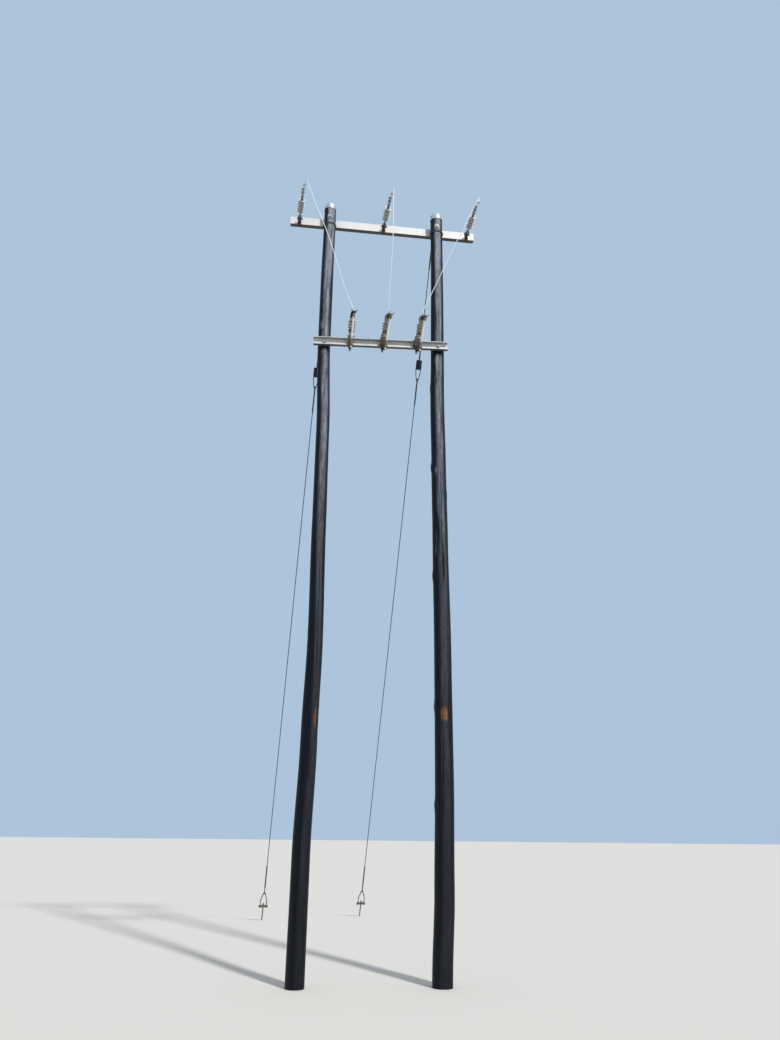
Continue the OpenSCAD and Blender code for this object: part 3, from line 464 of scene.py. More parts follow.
mats = {m.name: m for m in [
    makePoleWood(wood),
    makeGalvanised("paleZinc", 0.7, 0.25, (0.055, 0.05, 0.045), (0.09, 0.067, 0.052), (9.492, -0.0209),
                   (0.3, 0.3, 0.3)),
    makeGalvanised("greyZinc", 0.66, 0.4, (0.075, 0.078, 0.08), (0.11, 0.08, 0.06), (7.448, 0.0227),
                   (0.26, 0.28, 0.29)),
    makeRusty("rustyStrap", (0.03, 0.02, 0.014), (0.13, 0.06, 0.025)),
    makeRusty("darkStrap", (0.02, 0.015, 0.012), (0.075, 0.038, 0.02)),
    makeMetal("capSheet", (0.72, 0.73, 0.76), 0.75, 0.3, 0.75, 0.4, 17.0),
    makeMetal("dullSteel", (0.2, 0.19, 0.17), 0.6, 0.5, 0.6, 0.5),
    makeMetal("endSteel", (0.1, 0.098, 0.095), 0.6, 0.5, 0.6, 0.4),
    makeMetal("darkIrons", (0.05, 0.047, 0.043), 0.4, 0.5, 0.5, 0.4),
    makeMetal("paleIrons", (0.27, 0.26, 0.24), 0.5, 0.5, 0.7, 0.4, sooty=(7.35, 7.6)),
    makeMetal("boltZinc", (0.42, 0.42, 0.41), 0.5, 0.45, 0.6, 0.3),
    makeMetal("castBronze", (0.28, 0.22, 0.14), 0.7, 0.45, 0.5),
    makeMetal("clampAluminium", (0.26, 0.27, 0.28), 0.6, 0.45, 0.6),
    makeMetal("tapAluminium", (0.5, 0.52, 0.56), 0.6, 0.4, 0.4),
    makeMetal("bareStrand", (0.74, 0.79, 0.86), 0.35, 0.5, 0.1),
    makeMetal("stayStrand", (0.05, 0.055, 0.065), 0.4, 0.5, 0.5),
    makeCoat("greyPolymer", (0.62, 0.635, 0.64), (0.05, 0.045, 0.035), 0.5, 0.3),
    makeCoat("cutoutPorcelain", (0.46, 0.44, 0.37), (0.085, 0.05, 0.028), 0.28, 0.4),
    makeCoat("brownGlaze", (0.006, 0.005, 0.012), (0.018, 0.016, 0.018), 0.2, 0.3, 0.25),
    makeCoat("fuseTube", (0.74, 0.73, 0.67), (0.12, 0.075, 0.045), 0.35, 0.15)]}
print("materials done")

# cords: bare jumpers from the tap clamps to the cutouts
jumpers = {"diameter": 0.0095, "wires": 6, "pitch": 0.11, "spacing": 0.006}
jumperRoutes = [
    [(-0.347, -0.516, 9.619), (-0.343, -0.55, 9.626), (-0.334, -0.585, 9.62), (-0.32, -0.61, 9.59),
     (-0.305, -0.625, 9.53), (-0.27, -0.632, 9.42), (-0.219, -0.629, 9.268), (-0.108, -0.613, 8.996),
     (-0.029, -0.592, 8.8), (0.073, -0.56, 8.507), (0.15, -0.54, 8.27), (0.24, -0.515, 7.98),
     (0.33, -0.508, 7.75), (0.351, -0.506, 7.7), (0.3502, -0.4981, 7.6784), (0.3495, -0.4916, 7.6606)],
    [(0.841, -0.516, 9.594), (0.845, -0.55, 9.601), (0.847, -0.585, 9.595), (0.845, -0.61, 9.565),
     (0.84, -0.625, 9.505), (0.836, -0.632, 9.4), (0.838, -0.63, 9.23), (0.841, -0.622, 8.987),
     (0.836, -0.6, 8.64), (0.826, -0.568, 8.37), (0.812, -0.53, 8.032), (0.806, -0.505, 7.78),
     (0.804, -0.498, 7.71), (0.8018, -0.4905, 7.6878), (0.7998, -0.4843, 7.67)],
    [(2.029, -0.516, 9.569), (2.032, -0.55, 9.576), (2.028, -0.585, 9.57), (2.014, -0.61, 9.54),
     (1.988, -0.625, 9.48), (1.945, -0.632, 9.39), (1.89, -0.628, 9.27), (1.781, -0.613, 8.991),
     (1.685, -0.59, 8.79), (1.56, -0.558, 8.5), (1.47, -0.54, 8.27), (1.375, -0.518, 8.04),
     (1.265, -0.5, 7.78), (1.247, -0.497, 7.72), (1.2438, -0.4905, 7.6979), (1.2418, -0.4843, 7.6801)],
]
for side, points in zip(sides, jumperRoutes):
    path, run = evenRoute(smoothRoute(points, 12), jumpers["spacing"])
    shell = swept(path, run, jumpers["diameter"] / 2, (1, 0, 0), jumpers["wires"], jumpers["pitch"])
    wire = putMesh("bare_jumper_" + side, shell, mats["bareStrand"], replaces="jumper_" + side,
                   sharp=80)

# poles; trunk: height, drift, diameter; bleachAndPaintedLight: height, middle angle, half width in degrees,
# strength of the bleached band that also paints sheen; knots: height, angle, size; checks: angle, from, to,
# width in mm;
# scars: height, angle, half width and height; marksAndPaintedLight: the same and an amount added to the
# band, negative for painted shadow under the lower arm and the upper washers and for dark streaks, positive
# for pale streaks and painted highlights
poles = {}
poles["left"] = {
    "x": 0.0, "top": 9.715, "seed": 3,
    "trunk": [
        (0, 0, 0.2), (1.2, 0.004, 0.198), (2.4, 0.033, 0.19), (3.5, 0.054, 0.182), (4.9, 0.04, 0.173),
        (6.2, 0.034, 0.168), (7.45, 0.002, 0.165), (8.5, 0, 0.168), (9.4, 0.005, 0.164),
        (9.715, 0.004, 0.16)],
    "bleachAndPaintedLight": [
        (0, -72, 24, 0.02), (1.4, -72, 24, 0.04), (2.4, -52, 24, 0.1), (3.4, -66, 26, 0.12),
        (4.3, -75, 25, 0.24), (5.2, -80, 32, 0.33), (6.2, -77, 31, 0.55), (7.0, -76, 36, 0.62),
        (8.3, -86, 31, 0.9), (9.0, -76, 40, 0.85), (9.7, -74, 42, 1.0)],
    "knots": [
        (8.55, -95, 0.9), (7.9, -60, 0.8), (7.1, -110, 0.7), (6.3, -80, 0.9), (5.4, -130, 0.8),
        (4.6, -70, 0.8), (3.7, -100, 0.8), (2.9, -50, 1.0), (1.9, -120, 0.8), (0.9, -85, 0.7)],
    "checks": [
        (-92, 5.6, 9.3, 4.0), (-70, 2.2, 6.0, 5.0), (-108, 0.2, 3.6, 5.0), (-60, 6.4, 8.9, 4.0),
        (-125, 3.0, 7.4, 5.0), (30, 0.5, 8.0, 5.0), (110, 1.0, 9.0, 6.0), (170, 0.3, 6.0, 5.0)],
    "scars": [(2.64, -52, 0.009, 0.1)],
    # at 7.39 painted shadow under the lower arm, at 9.447 painted shadow under the upper washer; the pale
    # marks just above and below the arm are painted highlights
    "marksAndPaintedLight": [
        (7.39, -84, 0.1, 0.035, -1.0), (7.24, -74, 0.012, 0.07, 0.4), (7.085, -66, 0.012, 0.09, 0.2),
        (7.655, -86, 0.012, 0.05, 0.3), (7.635, -108, 0.018, 0.03, -0.4), (7.2, -104, 0.03, 0.12, -0.25),
        (7.73, -128, 0.012, 0.05, 0.6), (7.66, -112, 0.008, 0.07, 0.5), (5.96, -66, 0.014, 0.03, 0.4),
        (9.2, -70, 0.012, 0.1, -0.6), (8.1, -104, 0.01, 0.16, -0.5), (6.7, -84, 0.012, 0.2, -0.3),
        (9.447, -80, 0.026, 0.013, -0.9), (9.575, -118, 0.012, 0.05, -0.6)]}
poles["right"] = {
    "x": 1.5, "top": 9.675, "seed": 5,
    "trunk": [
        (0, 0, 0.217), (0.9, 0.03, 0.22), (2.0, 0.041, 0.212), (3.4, 0.038, 0.203), (4.8, 0.022, 0.192),
        (5.8, 0.012, 0.186), (6.7, 0.002, 0.183), (7.45, 0.009, 0.178), (8.5, 0.014, 0.17),
        (9.675, 0.012, 0.166)],
    "bleachAndPaintedLight": [
        (0, -84, 30, 0.03), (1.4, -82, 28, 0.06), (2.4, -90, 28, 0.12), (3.4, -84, 30, 0.19),
        (4.3, -80, 32, 0.25), (5.2, -86, 32, 0.36), (6.2, -85, 31, 0.5), (7.0, -86, 31, 0.6),
        (8.3, -86, 30, 0.75), (9.0, -86, 31, 0.95), (9.7, -86, 34, 1.0)],
    "knots": [
        (6.9, 174, 1.5), (5.77, 174, 2.1), (5.4, -5, 1.0), (4.35, 173, 2.3), (2.81, 173, 1.6),
        (1.75, 173, 1.8), (6.4, -95, 0.9), (5.0, -70, 0.8), (3.9, -110, 0.9), (2.6, -85, 0.9),
        (1.2, -100, 0.8), (8.3, -80, 0.7)],
    "checks": [
        (-85, 4.0, 9.2, 4.0), (-104, 0.4, 5.2, 5.0), (-62, 1.0, 4.4, 5.0), (-120, 5.5, 8.8, 4.0),
        (40, 0.4, 7.0, 5.0), (100, 2.0, 9.2, 5.0), (160, 1.0, 8.0, 6.0)],
    "scars": [(2.715, -93, 0.034, 0.075)],
    # at 7.395 painted shadow under the lower arm, at 9.412 painted shadow under the upper washer; the pale
    # marks just below the arm are painted highlights
    "marksAndPaintedLight": [
        (7.395, -98, 0.1, 0.035, -1.0), (7.245, -98, 0.02, 0.07, 0.35), (7.145, -122, 0.014, 0.06, -0.5),
        (7.1, -86, 0.008, 0.1, 0.25), (6.985, -104, 0.009, 0.09, -0.4), (5.7, -122, 0.012, 0.035, 0.6),
        (4.83, -127, 0.008, 0.09, 0.45), (4.66, -134, 0.008, 0.05, 0.5), (4.92, -117, 0.016, 0.14, -0.6),
        (4.43, -79, 0.012, 0.16, -0.6), (7.9, -108, 0.01, 0.2, -0.5), (6.4, -70, 0.01, 0.2, -0.4),
        (9.3, -96, 0.014, 0.05, -0.6), (9.59, -76, 0.022, 0.014, -1.0), (9.412, -100, 0.026, 0.013, -0.9),
        (9.55, -112, 0.012, 0.04, -0.6)]}

# the poles' mesh, and how high or deep each form is
poleForm = {"row": 0.03, "columns": 200, "rim": 0.0006, "gap": 0.0003, "wave": 0.0022, "ripple": 0.0009,
            "check": 0.006, "checkHalf": 0.0008, "knot": 0.0055, "pit": 0.004, "scar": 0.0015,
            "capped": 0.075}
arms = {"upper": {"x": 0.76, "z": 9.476, "tilt": -1.2, "flat": 0.068},
        "lower": {"x": 0.745, "z": 7.465, "tilt": 1.3, "flat": 0.062},
        "seat": 0.078, "web": 0.006, "spot": 0.0045, "spotHalf": 0.031}    # a spot lies under a washer


# height of an arm's middle at x: z plus the run times tan tilt
def armAt(which, x):
    arm = arms[which]
    return arm["z"] + (x - arm["x"]) * math.tan(math.radians(arm["tilt"]))


# sideways drift by smooth steps 3t^2 - 2t^3 between stations, and radius by straight ones
def trunkAt(trunk, z):
    stations = np.array(trunk)
    k = np.clip(np.searchsorted(stations[:, 0], z, side="right") - 1, 0, len(stations) - 2)
    low, step = stations[k], stations[k + 1] - stations[k]
    t = np.clip((z - low[..., 0]) / step[..., 0], 0, 1)
    return low[..., 1] + t * t * (3 - 2 * t) * step[..., 1], (low[..., 2] + t * step[..., 2]) / 2


# mean of plain waves sin(f z + p) cos(n a + q) with random f, n, p and q
def softField(z, a, count, low, high, rng):
    f, n = rng.uniform(low, high, count), rng.integers(0, 4, count)
    p, q = rng.uniform(0, 6.3, count), rng.uniform(0, 6.3, count)
    return sum(np.sin(z * f[k] + p[k]) * np.cos(n[k] * a + q[k]) for k in range(count)) / count


# an angle brought to between minus and plus half a turn
def wrapped(angle):
    return np.mod(angle + math.pi, 2 * math.pi) - math.pi


# a pole's middle, its place plus the drift, and its radius at height z
def trunkSpot(p, z):
    drift, radius = trunkAt(p["trunk"], z)
    return p["x"] + float(drift), float(radius)


# where the two through bolts cross a pole: x, z and trunk radius, upper then lower
def boltPlaces(p):
    spots = []
    for which in ("upper", "lower"):
        x = trunkSpot(p, arms[which]["z"])[0]
        z = armAt(which, x)
        spots.append((x, z, trunkSpot(p, z)[1]))
    return spots


# radius = station radius + slow waves + knots (a swelling with a pit) - checks (long narrow grooves),
# then cut flat where the arms and washers bear
def makePole(side, p):
    rng, f, spot = np.random.default_rng(p["seed"]), poleForm, arms["spotHalf"]
    bolted = list(zip(boltPlaces(p), (arms["upper"]["flat"], arms["lower"]["flat"]), (1, -1)))
    rims = [z0 + way * half + d for (x0, z0, r0), flat, away in bolted for half in (flat, spot)
            for way in (-1, 1) for d in (-f["rim"], f["rim"])]
    z = np.unique(np.r_[np.arange(0, p["top"], f["row"]), p["top"], rims])
    zz, aa = np.meshgrid(z, angles(f["columns"]), indexing="ij")
    drift, radius = trunkAt(p["trunk"], zz)

    def hill(height, angle, halfW, halfH):    # exp(-(off / halfW)^2 - (rise / halfH)^2)
        off = wrapped(aa - math.radians(angle)) * radius
        return np.exp(-((off / halfW) ** 2 + ((zz - height) / halfH) ** 2))

    r = radius - 0.001 + f["wave"] * softField(zz, aa, 9, 0.6, 5.0, rng)
    r = r + f["ripple"] * softField(zz, aa, 9, 8, 30, rng)
    crack, scar = np.zeros_like(r), np.zeros_like(r)
    for angle, start, end, width in p["checks"]:
        sway = math.radians(angle) + 0.05 * np.sin(zz * 1.3 + angle) + 0.02 * np.sin(zz * 6.1)
        span = np.clip((zz - start) / 0.5, 0, 1) * np.clip((end - zz) / 0.5, 0, 1)
        cut = np.exp(-(wrapped(aa - sway) * radius / (width * f["checkHalf"])) ** 2) * span
        cut = cut * np.clip(0.5 + 1.2 * np.sin(zz * 2.3 + angle), 0, 1)
        r, crack = r - f["check"] * cut, np.maximum(crack, cut)
    for height, angle, size in p["knots"]:
        pit = hill(height, angle, 0.009, 0.011)
        r = r + f["knot"] * size * hill(height, angle, 0.028, 0.05) - f["pit"] * size * pit
        crack = np.maximum(crack, 0.7 * pit)
    for height, angle, halfW, halfH in p["scars"]:
        off = wrapped(aa - math.radians(angle)) * radius
        ragged = 0.35 * np.sin(zz * 90) + 0.3 * np.sin(aa * 37 + zz * 30)
        inside = 1.6 - (off / halfW) ** 2 - ((zz - height) / halfH) ** 2 + ragged
        scar = np.maximum(scar, np.clip(inside, 0, 1))
    r = r - f["scar"] * scar
    # the cap slips over the top end
    r = np.where(zz > p["top"] - f["capped"], np.minimum(r, radius - 0.0012), r)
    x, y = p["x"] + drift + r * np.cos(aa), r * np.sin(aa)
    for (x0, z0, r0), flat, away in bolted:    # away is 1 for the arm behind, -1 for the one in front
        near, seat, bed = np.abs(zz - z0), arms["seat"] - f["gap"], arms["spot"] + f["gap"] - r0
        y = np.where(near < flat, away * np.minimum(away * y, seat), y)
        y = np.where((near < spot) & (np.abs(x - x0) < spot), away * np.maximum(away * y, bed), y)
    # the weather has bleached the front, and the same band paints the sheen of light on it: strength times
    # exp(-lean^4) about a middle angle
    level, middle, wide, strength = np.array(p["bleachAndPaintedLight"]).T
    lean = wrapped(aa - np.radians(np.interp(zz, level, middle))) / np.radians(np.interp(zz, level, wide))
    bleachAndSheenBand = np.exp(-lean ** 4)
    bleachAndPaintedLight = bleachAndSheenBand * np.interp(zz, level, strength) * (1 + 0.5 * softField(zz, aa * 3, 12, 2, 14, rng))
    # the marks add painted shadows, painted highlights and streaks to the band
    for height, angle, halfW, halfH, amount in p["marksAndPaintedLight"]:
        bleachAndPaintedLight = bleachAndPaintedLight + amount * hill(height, angle, halfW, halfH)
    # on the far side, 90 degrees, the weather has only drawn thin streaks, more of them higher up
    behind = np.exp(-(wrapped(aa - math.pi / 2) / 1.1) ** 4) * (0.4 + 0.6 * zz / p["top"])
    bleachAndSheenBand = np.maximum(bleachAndSheenBand, 0.45 * behind)
    bleachAndPaintedLight = bleachAndPaintedLight + 0.2 * behind * (1 + 0.8 * softField(zz, aa * 3, 12, 2, 14, rng))
    bleachAndPaintedLight = np.clip(bleachAndPaintedLight, 0, 1)
    marksAndPaintedLight = {"crack": crack, "scar": scar, "bleachAndPaintedLight": bleachAndPaintedLight, "bleachAndSheenBand": bleachAndSheenBand}
    putMesh("trunk_" + side, skin(np.stack([x, y, zz], -1)), mats["creosotedWood"], replaces="pole_" + side,
            sharp=60, attributes=marksAndPaintedLight)


caps = {"deep": 0.072, "columns": 120, "row": 0.003, "dent": 0.0022, "sag": 0.004, "fade": 0.02,
        "nails": (-2.2, -1.1, 0.1, 1.2, 2.4)}


# sheet cap: a skirt and a low dome, spun; its dents are soft waves that fade out at the skirt's foot
def makeCap(side, p, c):
    rng, deep, columns = np.random.default_rng(p["seed"] + 20), c["deep"], c["columns"]
    x, foot = trunkSpot(p, p["top"])[0], trunkSpot(p, p["top"] - deep)[1]
    profile = [(foot + 0.0006, -deep + 0.004), (foot + 0.0006, -deep), (foot + 0.0032, -deep),
               (foot + 0.0034, -deep + 0.004), (foot + 0.0018, -deep + 0.009), (foot + 0.0016, -0.006),
               (foot - 0.003, 0.0006), (foot * 0.6, 0.0032), (foot * 0.25, 0.0046), (0.002, 0.005)]
    profile = evenRoute(softened(profile, 0.003), c["row"])[0]
    rr, aa = np.meshgrid(profile[:, 0], angles(columns), indexing="ij")
    zz = np.repeat(profile[:, 1:2], columns, 1)
    dent = softField(zz * 60, aa * 2, 14, 0.5, 1.4, rng) * np.clip((zz + deep) / c["fade"], 0, 1)
    rr = rr + np.where(rr > foot - 0.004, np.maximum(c["dent"] * dent, -0.0004), 0)
    zz = zz + np.where(rr < foot - 0.002, c["sag"] * np.minimum(dent, 0), 0)
    shell = skin(np.stack([rr * np.cos(aa), rr * np.sin(aa), zz], -1), shut=(False, True))
    nail = spun(softened([(0.005, 0), (0.005, 0.0012), (0.0025, 0.002), (0.0003, 0.0021)], 0.001), 16)
    wall = foot + 0.0014
    nails = [moved(nail, (np.cos(a) * wall, np.sin(a) * wall, -deep + 0.025),
                   turn("z", math.degrees(a)) @ turn("y", 90)) for a in c["nails"]]
    putMesh("sheet_cap_" + side, moved([shell] + nails, (x, 0, p["top"])), mats["capSheet"],
            replaces="pole_cap_" + side, sharp=50)


bolts = {"radius": 0.01, "pitch": 0.0025, "corner": 0.017, "head": 0.013, "nut": 0.016, "washer": 0.005,
         "wide": 0.055, "narrow": 0.044, "bevel": 0.0007}


# head and wide washer on the far side of the pole from the arm, nut and narrow washer inside its web
def makeThroughBolt(name, places, turned, length):
    b, shells, plate = bolts, [], softened(0.5 * square, 0.06, 5, True)
    towards = np.array([[1, 0, 0], [0, 0, 1], [0, -1, 0]])    # local +Z runs along +Y
    way = np.diag([-1, -1, 1] if turned else [1, 1, 1])
    for x, z, r in places:
        seat, inner = r - arms["spot"], arms["seat"] + arms["web"]
        parts = [(slab(plate * b["wide"], b["washer"], b["bevel"]), -seat - b["washer"]),
                 (slab(plate * b["narrow"], b["washer"], b["bevel"]), inner),
                 (hexagon(b["corner"], b["head"]), -seat - b["washer"] - b["head"]),
                 (hexagon(b["corner"], b["nut"]), inner + b["washer"]),
                 (threaded(b["radius"], length - 0.01, b["pitch"]), inner + 0.01)]
        shells += moved([moved(shell, (0, y, 0), towards) for shell, y in parts], (x, 0, z), way)
    putMesh("bolts_of_" + name, shells, mats["boltZinc"], replaces=name + "_bolts")


for side, pole in poles.items():
    makePole(side, pole)
    makeCap(side, pole, caps)
upperSpots, lowerSpots = zip(*(boltPlaces(pole) for pole in poles.values()))    # one crossing per pole
makeThroughBolt("upper_arm", upperSpots, False, 0.035)
makeThroughBolt("lower_arm", lowerSpots, True, 0.03)
print("poles done")

# strain strings; stations run outward from the shackle's pin, in metres
strings = {"first": -0.42, "gap": 1.188, "y": 0.036, "turn": 5.7, "rise": 12.0, "eye": 0.056,
           "ferrule": 0.082, "shed": 0.122, "pitch": 0.036, "count": 6, "shedR": 0.049,
           "coreR": 0.011, "tongue": 0.364, "clamp": 0.38, "tap": 0.53, "tapSide": 0.018,
           "stubEnd": 0.595, "wireR": 0.00475, "columns": 96, "crimps": 3, "eyeThick": 0.012}
outward = np.array([[1, 0, 0], [0, 0, -1], [0, 1, 0]])    # a lathe's Z becomes the string's -Y


# a string's root on the arm, and axes whose -Y runs out along it
def stringFrame(i):
    x = strings["first"] + i * strings["gap"]
    place = np.array([x, strings["y"], armAt("upper", x)])
    return place, turn("z", strings["turn"]) @ turn("x", -strings["rise"])


# silicone sheds with thin rims on a rod, steel ends with three crimped bands, and two flat eyes
def makeStrainInsulator(i, q):
    place, axes = stringFrame(i)
    core, rim, end = q["coreR"], q["shedR"], q["shed"] + (q["count"] - 1) * q["pitch"]
    profile = [(core, q["shed"] - 0.012)]
    for s in q["shed"] + q["pitch"] * np.arange(q["count"]):
        profile += [(core, s - 0.0062), (core + 0.004, s - 0.0038), (rim - 0.018, s + 0.0012),
                    (rim - 0.003, s + 0.0044), (rim, s + 0.0058), (rim - 0.0012, s + 0.0074),
                    (rim - 0.02, s + 0.0066), (core + 0.005, s + 0.0084), (core, s + 0.0115)]
    profile.append((core, end + 0.016))
    profile = softened(profile, 0.0012, 3)
    rod = spun(profile, q["columns"])
    proud = np.clip((profile[:, 0] - core) / (0.55 * (rim - core)), 0, 1)    # painted shade lies deep, near the rod between the sheds

    def crimped(s0, s1):
        bands = [(0.012, s0), (0.0148, s0 + 0.004)]
        for k in range(q["crimps"]):
            mid = s0 + (s1 - s0) * (k + 1) / (q["crimps"] + 1)
            bands += [(0.015, mid - 0.0035), (0.0138, mid - 0.0022), (0.0138, mid + 0.0022),
                      (0.015, mid + 0.0035)]
        return spun(softened(bands + [(0.0148, s1 - 0.003), (0.0115, s1)], 0.0008, 3), 64)

    ends = [crimped(q["ferrule"], q["shed"] - 0.01), crimped(end + 0.0145, end + 0.046)]
    inner = eyePlate(0.019, 0.012, q["ferrule"] + 0.004 - q["eye"], 0.01, q["eyeThick"])
    outer = eyePlate(0.017, 0.013, q["tongue"] - end - 0.042, 0.0085, q["eyeThick"])
    stand = turn("y", 90)    # an eye's plate stands in the string's YZ plane
    eyes = [moved(inner, (0, -q["eye"], 0), stand @ turn("z", -90)),
            moved(outer, (0, -q["tongue"], 0), stand @ turn("z", 90))]
    # the dirt attribute here is painted shade, darkest at the rod
    name, dirt = "strain_insulator_" + sides[i], np.repeat(1 - proud, q["columns"])
    putMesh("silicone_rod_" + sides[i], moved(rod, place, axes @ outward), mats["greyPolymer"],
            replaces=name, sharp=50, attributes={"dirt": dirt})
    metal = moved(ends, place, axes @ outward) + moved(eyes, place, axes)
    putMesh("string_ends_" + sides[i], metal, mats["endSteel"], replaces=name)


# a strand's stub, cut just past the clamp, beside the jumper's end in the two-groove tap
def makeStubAndTap(i, q):
    place, axes = stringFrame(i)
    shells = []
    ends = [(0, q["clamp"] + 0.01, q["stubEnd"]), (q["tapSide"], q["tap"] - 0.018, q["tap"] + 0.038)]
    for off, s0, s1 in ends:
        route, run = evenRoute([(off, -s0, 0), (off, -s1, 0)], 0.004)
        shells.append(swept(route, run, q["wireR"], (1, 0, 0), jumpers["wires"], jumpers["pitch"]))
    half = q["tap"] + 0.019
    for s in (-1, 1):
        outline = [(-0.011, s * 0.001), (0.029, s * 0.001), (0.029, s * 0.007), (0.023, s * 0.012),
                   (-0.005, s * 0.012), (-0.011, s * 0.007)][::s]
        o = softened(outline, 0.0015, 3, True)
        rows = [np.c_[o[:, 0], np.full(len(o), y), o[:, 1]] for y in (-half - 0.019, -half + 0.019)]
        shells.append(skin(rows))
    up = (0.009, -q["tap"] - 0.02)
    shells += [moved(threaded(0.004, 0.042, 0.0012), (*up, -0.02)),
               moved(hexagon(0.008, 0.007), (*up, 0.012)), moved(hexagon(0.008, 0.006), (*up, -0.018))]
    putMesh("tap_clamp_" + sides[i], moved(shells, place, axes), mats["tapAluminium"],
            replaces="line_tap_" + sides[i])


for i in range(3):
    makeStrainInsulator(i, strings)
    makeStubAndTap(i, strings)
print("strings done")

# fuse cutouts
cutouts = {"x": (0.332, 0.748, 1.19), "turn": (6, 18, 18), "y": -0.325, "drop": 0.02, "reach": 0.075,
           "tilt": 20, "half": 0.165, "core": 0.027, "rim": 0.05, "tubeGap": 0.105, "tubeR": 0.013,
           "tubeFrom": -0.235, "tubeTo": 0.166, "sheds": (-0.128, -0.092, -0.056, 0.056, 0.092, 0.128),
           "columns": 112, "tubeColumns": 64, "thread": 0.0024}


# the middle of a porcelain in front of its bracket, and axes that lean back by tilt
def cutoutFrame(i):
    q = cutouts
    pivot = np.array([q["x"][i], q["y"], armAt("lower", q["x"][i]) - q["drop"]])
    about = turn("z", q["turn"][i])
    return pivot + about @ np.array([0, -q["reach"], 0]), about @ turn("x", q["tilt"])


# glazed porcelain with hollow-bellied sheds, and the fuse tube with its bound ends, both spun
def makeCutout(i, q):
    side = sides[i]
    place, axes = cutoutFrame(i)
    h, core, rim = q["half"], q["core"], q["rim"]
    profile = [(0.029, -h), (0.0316, -h + 0.0015), (0.032, -h + 0.012), (0.0285, -h + 0.0165)]
    for z in q["sheds"]:
        profile += [(core, z - 0.016), (core + 0.003, z - 0.0095), (rim - 0.012, z - 0.0082),
                    (rim - 0.0072, z - 0.0112), (rim - 0.004, z - 0.0158), (rim - 0.0012, z - 0.0158),
                    (rim, z - 0.012), (rim - 0.006, z - 0.006), (rim - 0.015, z + 0.001),
                    (core + 0.002, z + 0.009), (core, z + 0.016)]
        if z == q["sheds"][2]:
            profile += [(0.028, -0.03), (0.031, -0.024), (0.031, 0.024), (0.028, 0.03)]
    profile += [(0.0285, h - 0.0165), (0.032, h - 0.012), (0.0316, h - 0.0015), (0.029, h)]
    profile = softened(profile, 0.0022, 4)
    low = np.clip(-profile[:, 1] / h, 0, 1) ** 0.6    # darker towards the bottom, from the middle down
    # darker near the core, deep between the sheds
    hollow = np.clip(1 - (profile[:, 0] - core) / 0.012, 0, 1)
    dirt = np.repeat(np.maximum(0.85 * low, 0.4 * hollow), q["columns"])
    porcelain = spun(profile, q["columns"])
    putMesh("ribbed_porcelain_" + side, moved(porcelain, place, axes), mats["cutoutPorcelain"],
            replaces="cutout_insulator_" + side, sharp=60,
            attributes={"dirt": dirt})
    r, z0, z1, thread = q["tubeR"], q["tubeFrom"], q["tubeTo"], q["thread"]

    def bound(start, end):    # a thread wound close: low, high, high, low in each pitch
        return [(r + dr, z + dz * thread) for z in np.arange(start, end, thread)
                for dr, dz in ((-0.0004, 0), (0, 0.25), (0, 0.75), (-0.0004, 1))]

    wall = [(r - 0.004, z1 - 0.026), (r - 0.004, z0 + 0.001), (r - 0.0032, z0), (r - 0.0006, z0),
            (r, z0 + 0.0008)]
    wall += [(r, z) for z in np.linspace(z0 + 0.004, z0 + 0.066, 10)] + bound(z0 + 0.07, z0 + 0.084)
    wall += [(r, z) for z in np.linspace(z0 + 0.09, z1 - 0.034, 24)] + bound(z1 - 0.03, z1 - 0.012)
    wall += [(r, z1 - 0.0005), (r - 0.0006, z1)]
    along = (np.array(wall)[:, 1] - z0) / (z1 - z0)
    # rust has run off the hinge casting
    stain = np.repeat(0.9 * np.exp(-((along - 0.215) / 0.085) ** 4), q["tubeColumns"])
    place = place + axes @ np.array([0, -q["tubeGap"], 0])
    putMesh("bound_tube_" + side, moved(spun(wall, q["tubeColumns"]), place, axes), mats["fuseTube"],
            body="carrier_" + side, replaces="fuse_tube_" + side,
            attributes={"dirt": stain})


for i in range(3):
    makeCutout(i, cutouts)
print("cutouts done")

# stays; stations run down the wire from the tie-off on the pole, in metres
stays = {"left": {"anchor": (-0.6, 5.86, 0.0), "tie": 80, "insulator": 1.985},
         "right": {"anchor": (1.073, 6.48, 0.0), "tie": 118, "insulator": 1.79}}
stayParts = {"z": 9.38, "wire": 0.006, "wires": 6, "pitch": 0.12, "snug": 0.002, "sink": 0.013,
             "grip": 0.011, "gripWires": 5, "gripPitch": 0.09, "gripNear": 0.2, "gripFar": 0.59,
             "topGrip": 0.444, "loop": 0.036, "loopLeg": 0.09, "loopEnd": 0.25, "spacing": 0.008,
             "bowTop": 0.51, "crosshead": 0.27, "bowHalf": 0.05, "bowR": 0.008, "rod": 0.01}


# the tie-off on the pole, and axes whose +Z runs down the wire to the anchor
def stayFrame(side):
    q, m = stays[side], stayParts
    x, radius = trunkSpot(poles[side], m["z"])
    wrap = radius + m["wire"] + 0.0016
    a = math.radians(q["tie"])
    middle = np.array([x, 0, m["z"]])
    start = middle + wrap * np.array([math.cos(a), math.sin(a), 0])
    run = np.array(q["anchor"]) - start
    length = float(np.linalg.norm(run))
    about, lean = math.degrees(math.atan2(run[1], run[0])), math.degrees(math.acos(run[2] / length))
    return start, turn("z", about) @ turn("y", lean), length, middle, wrap


# a half turn of radius r about the origin in local XZ with two legs that close in at height far
def loopRoute(r, straight, far, way):
    a = np.radians(np.arange(180, 361, 15))
    knee = far * 0.72 + straight * 0.28
    legs = [(-0.004, far), (-r * 0.55, knee), (-r, straight)]
    p = legs + list(zip(r * np.cos(a), r * np.sin(a))) + [(-x, z) for x, z in legs[::-1]]
    return np.array([(x, 0, way * z) for x, z in p])


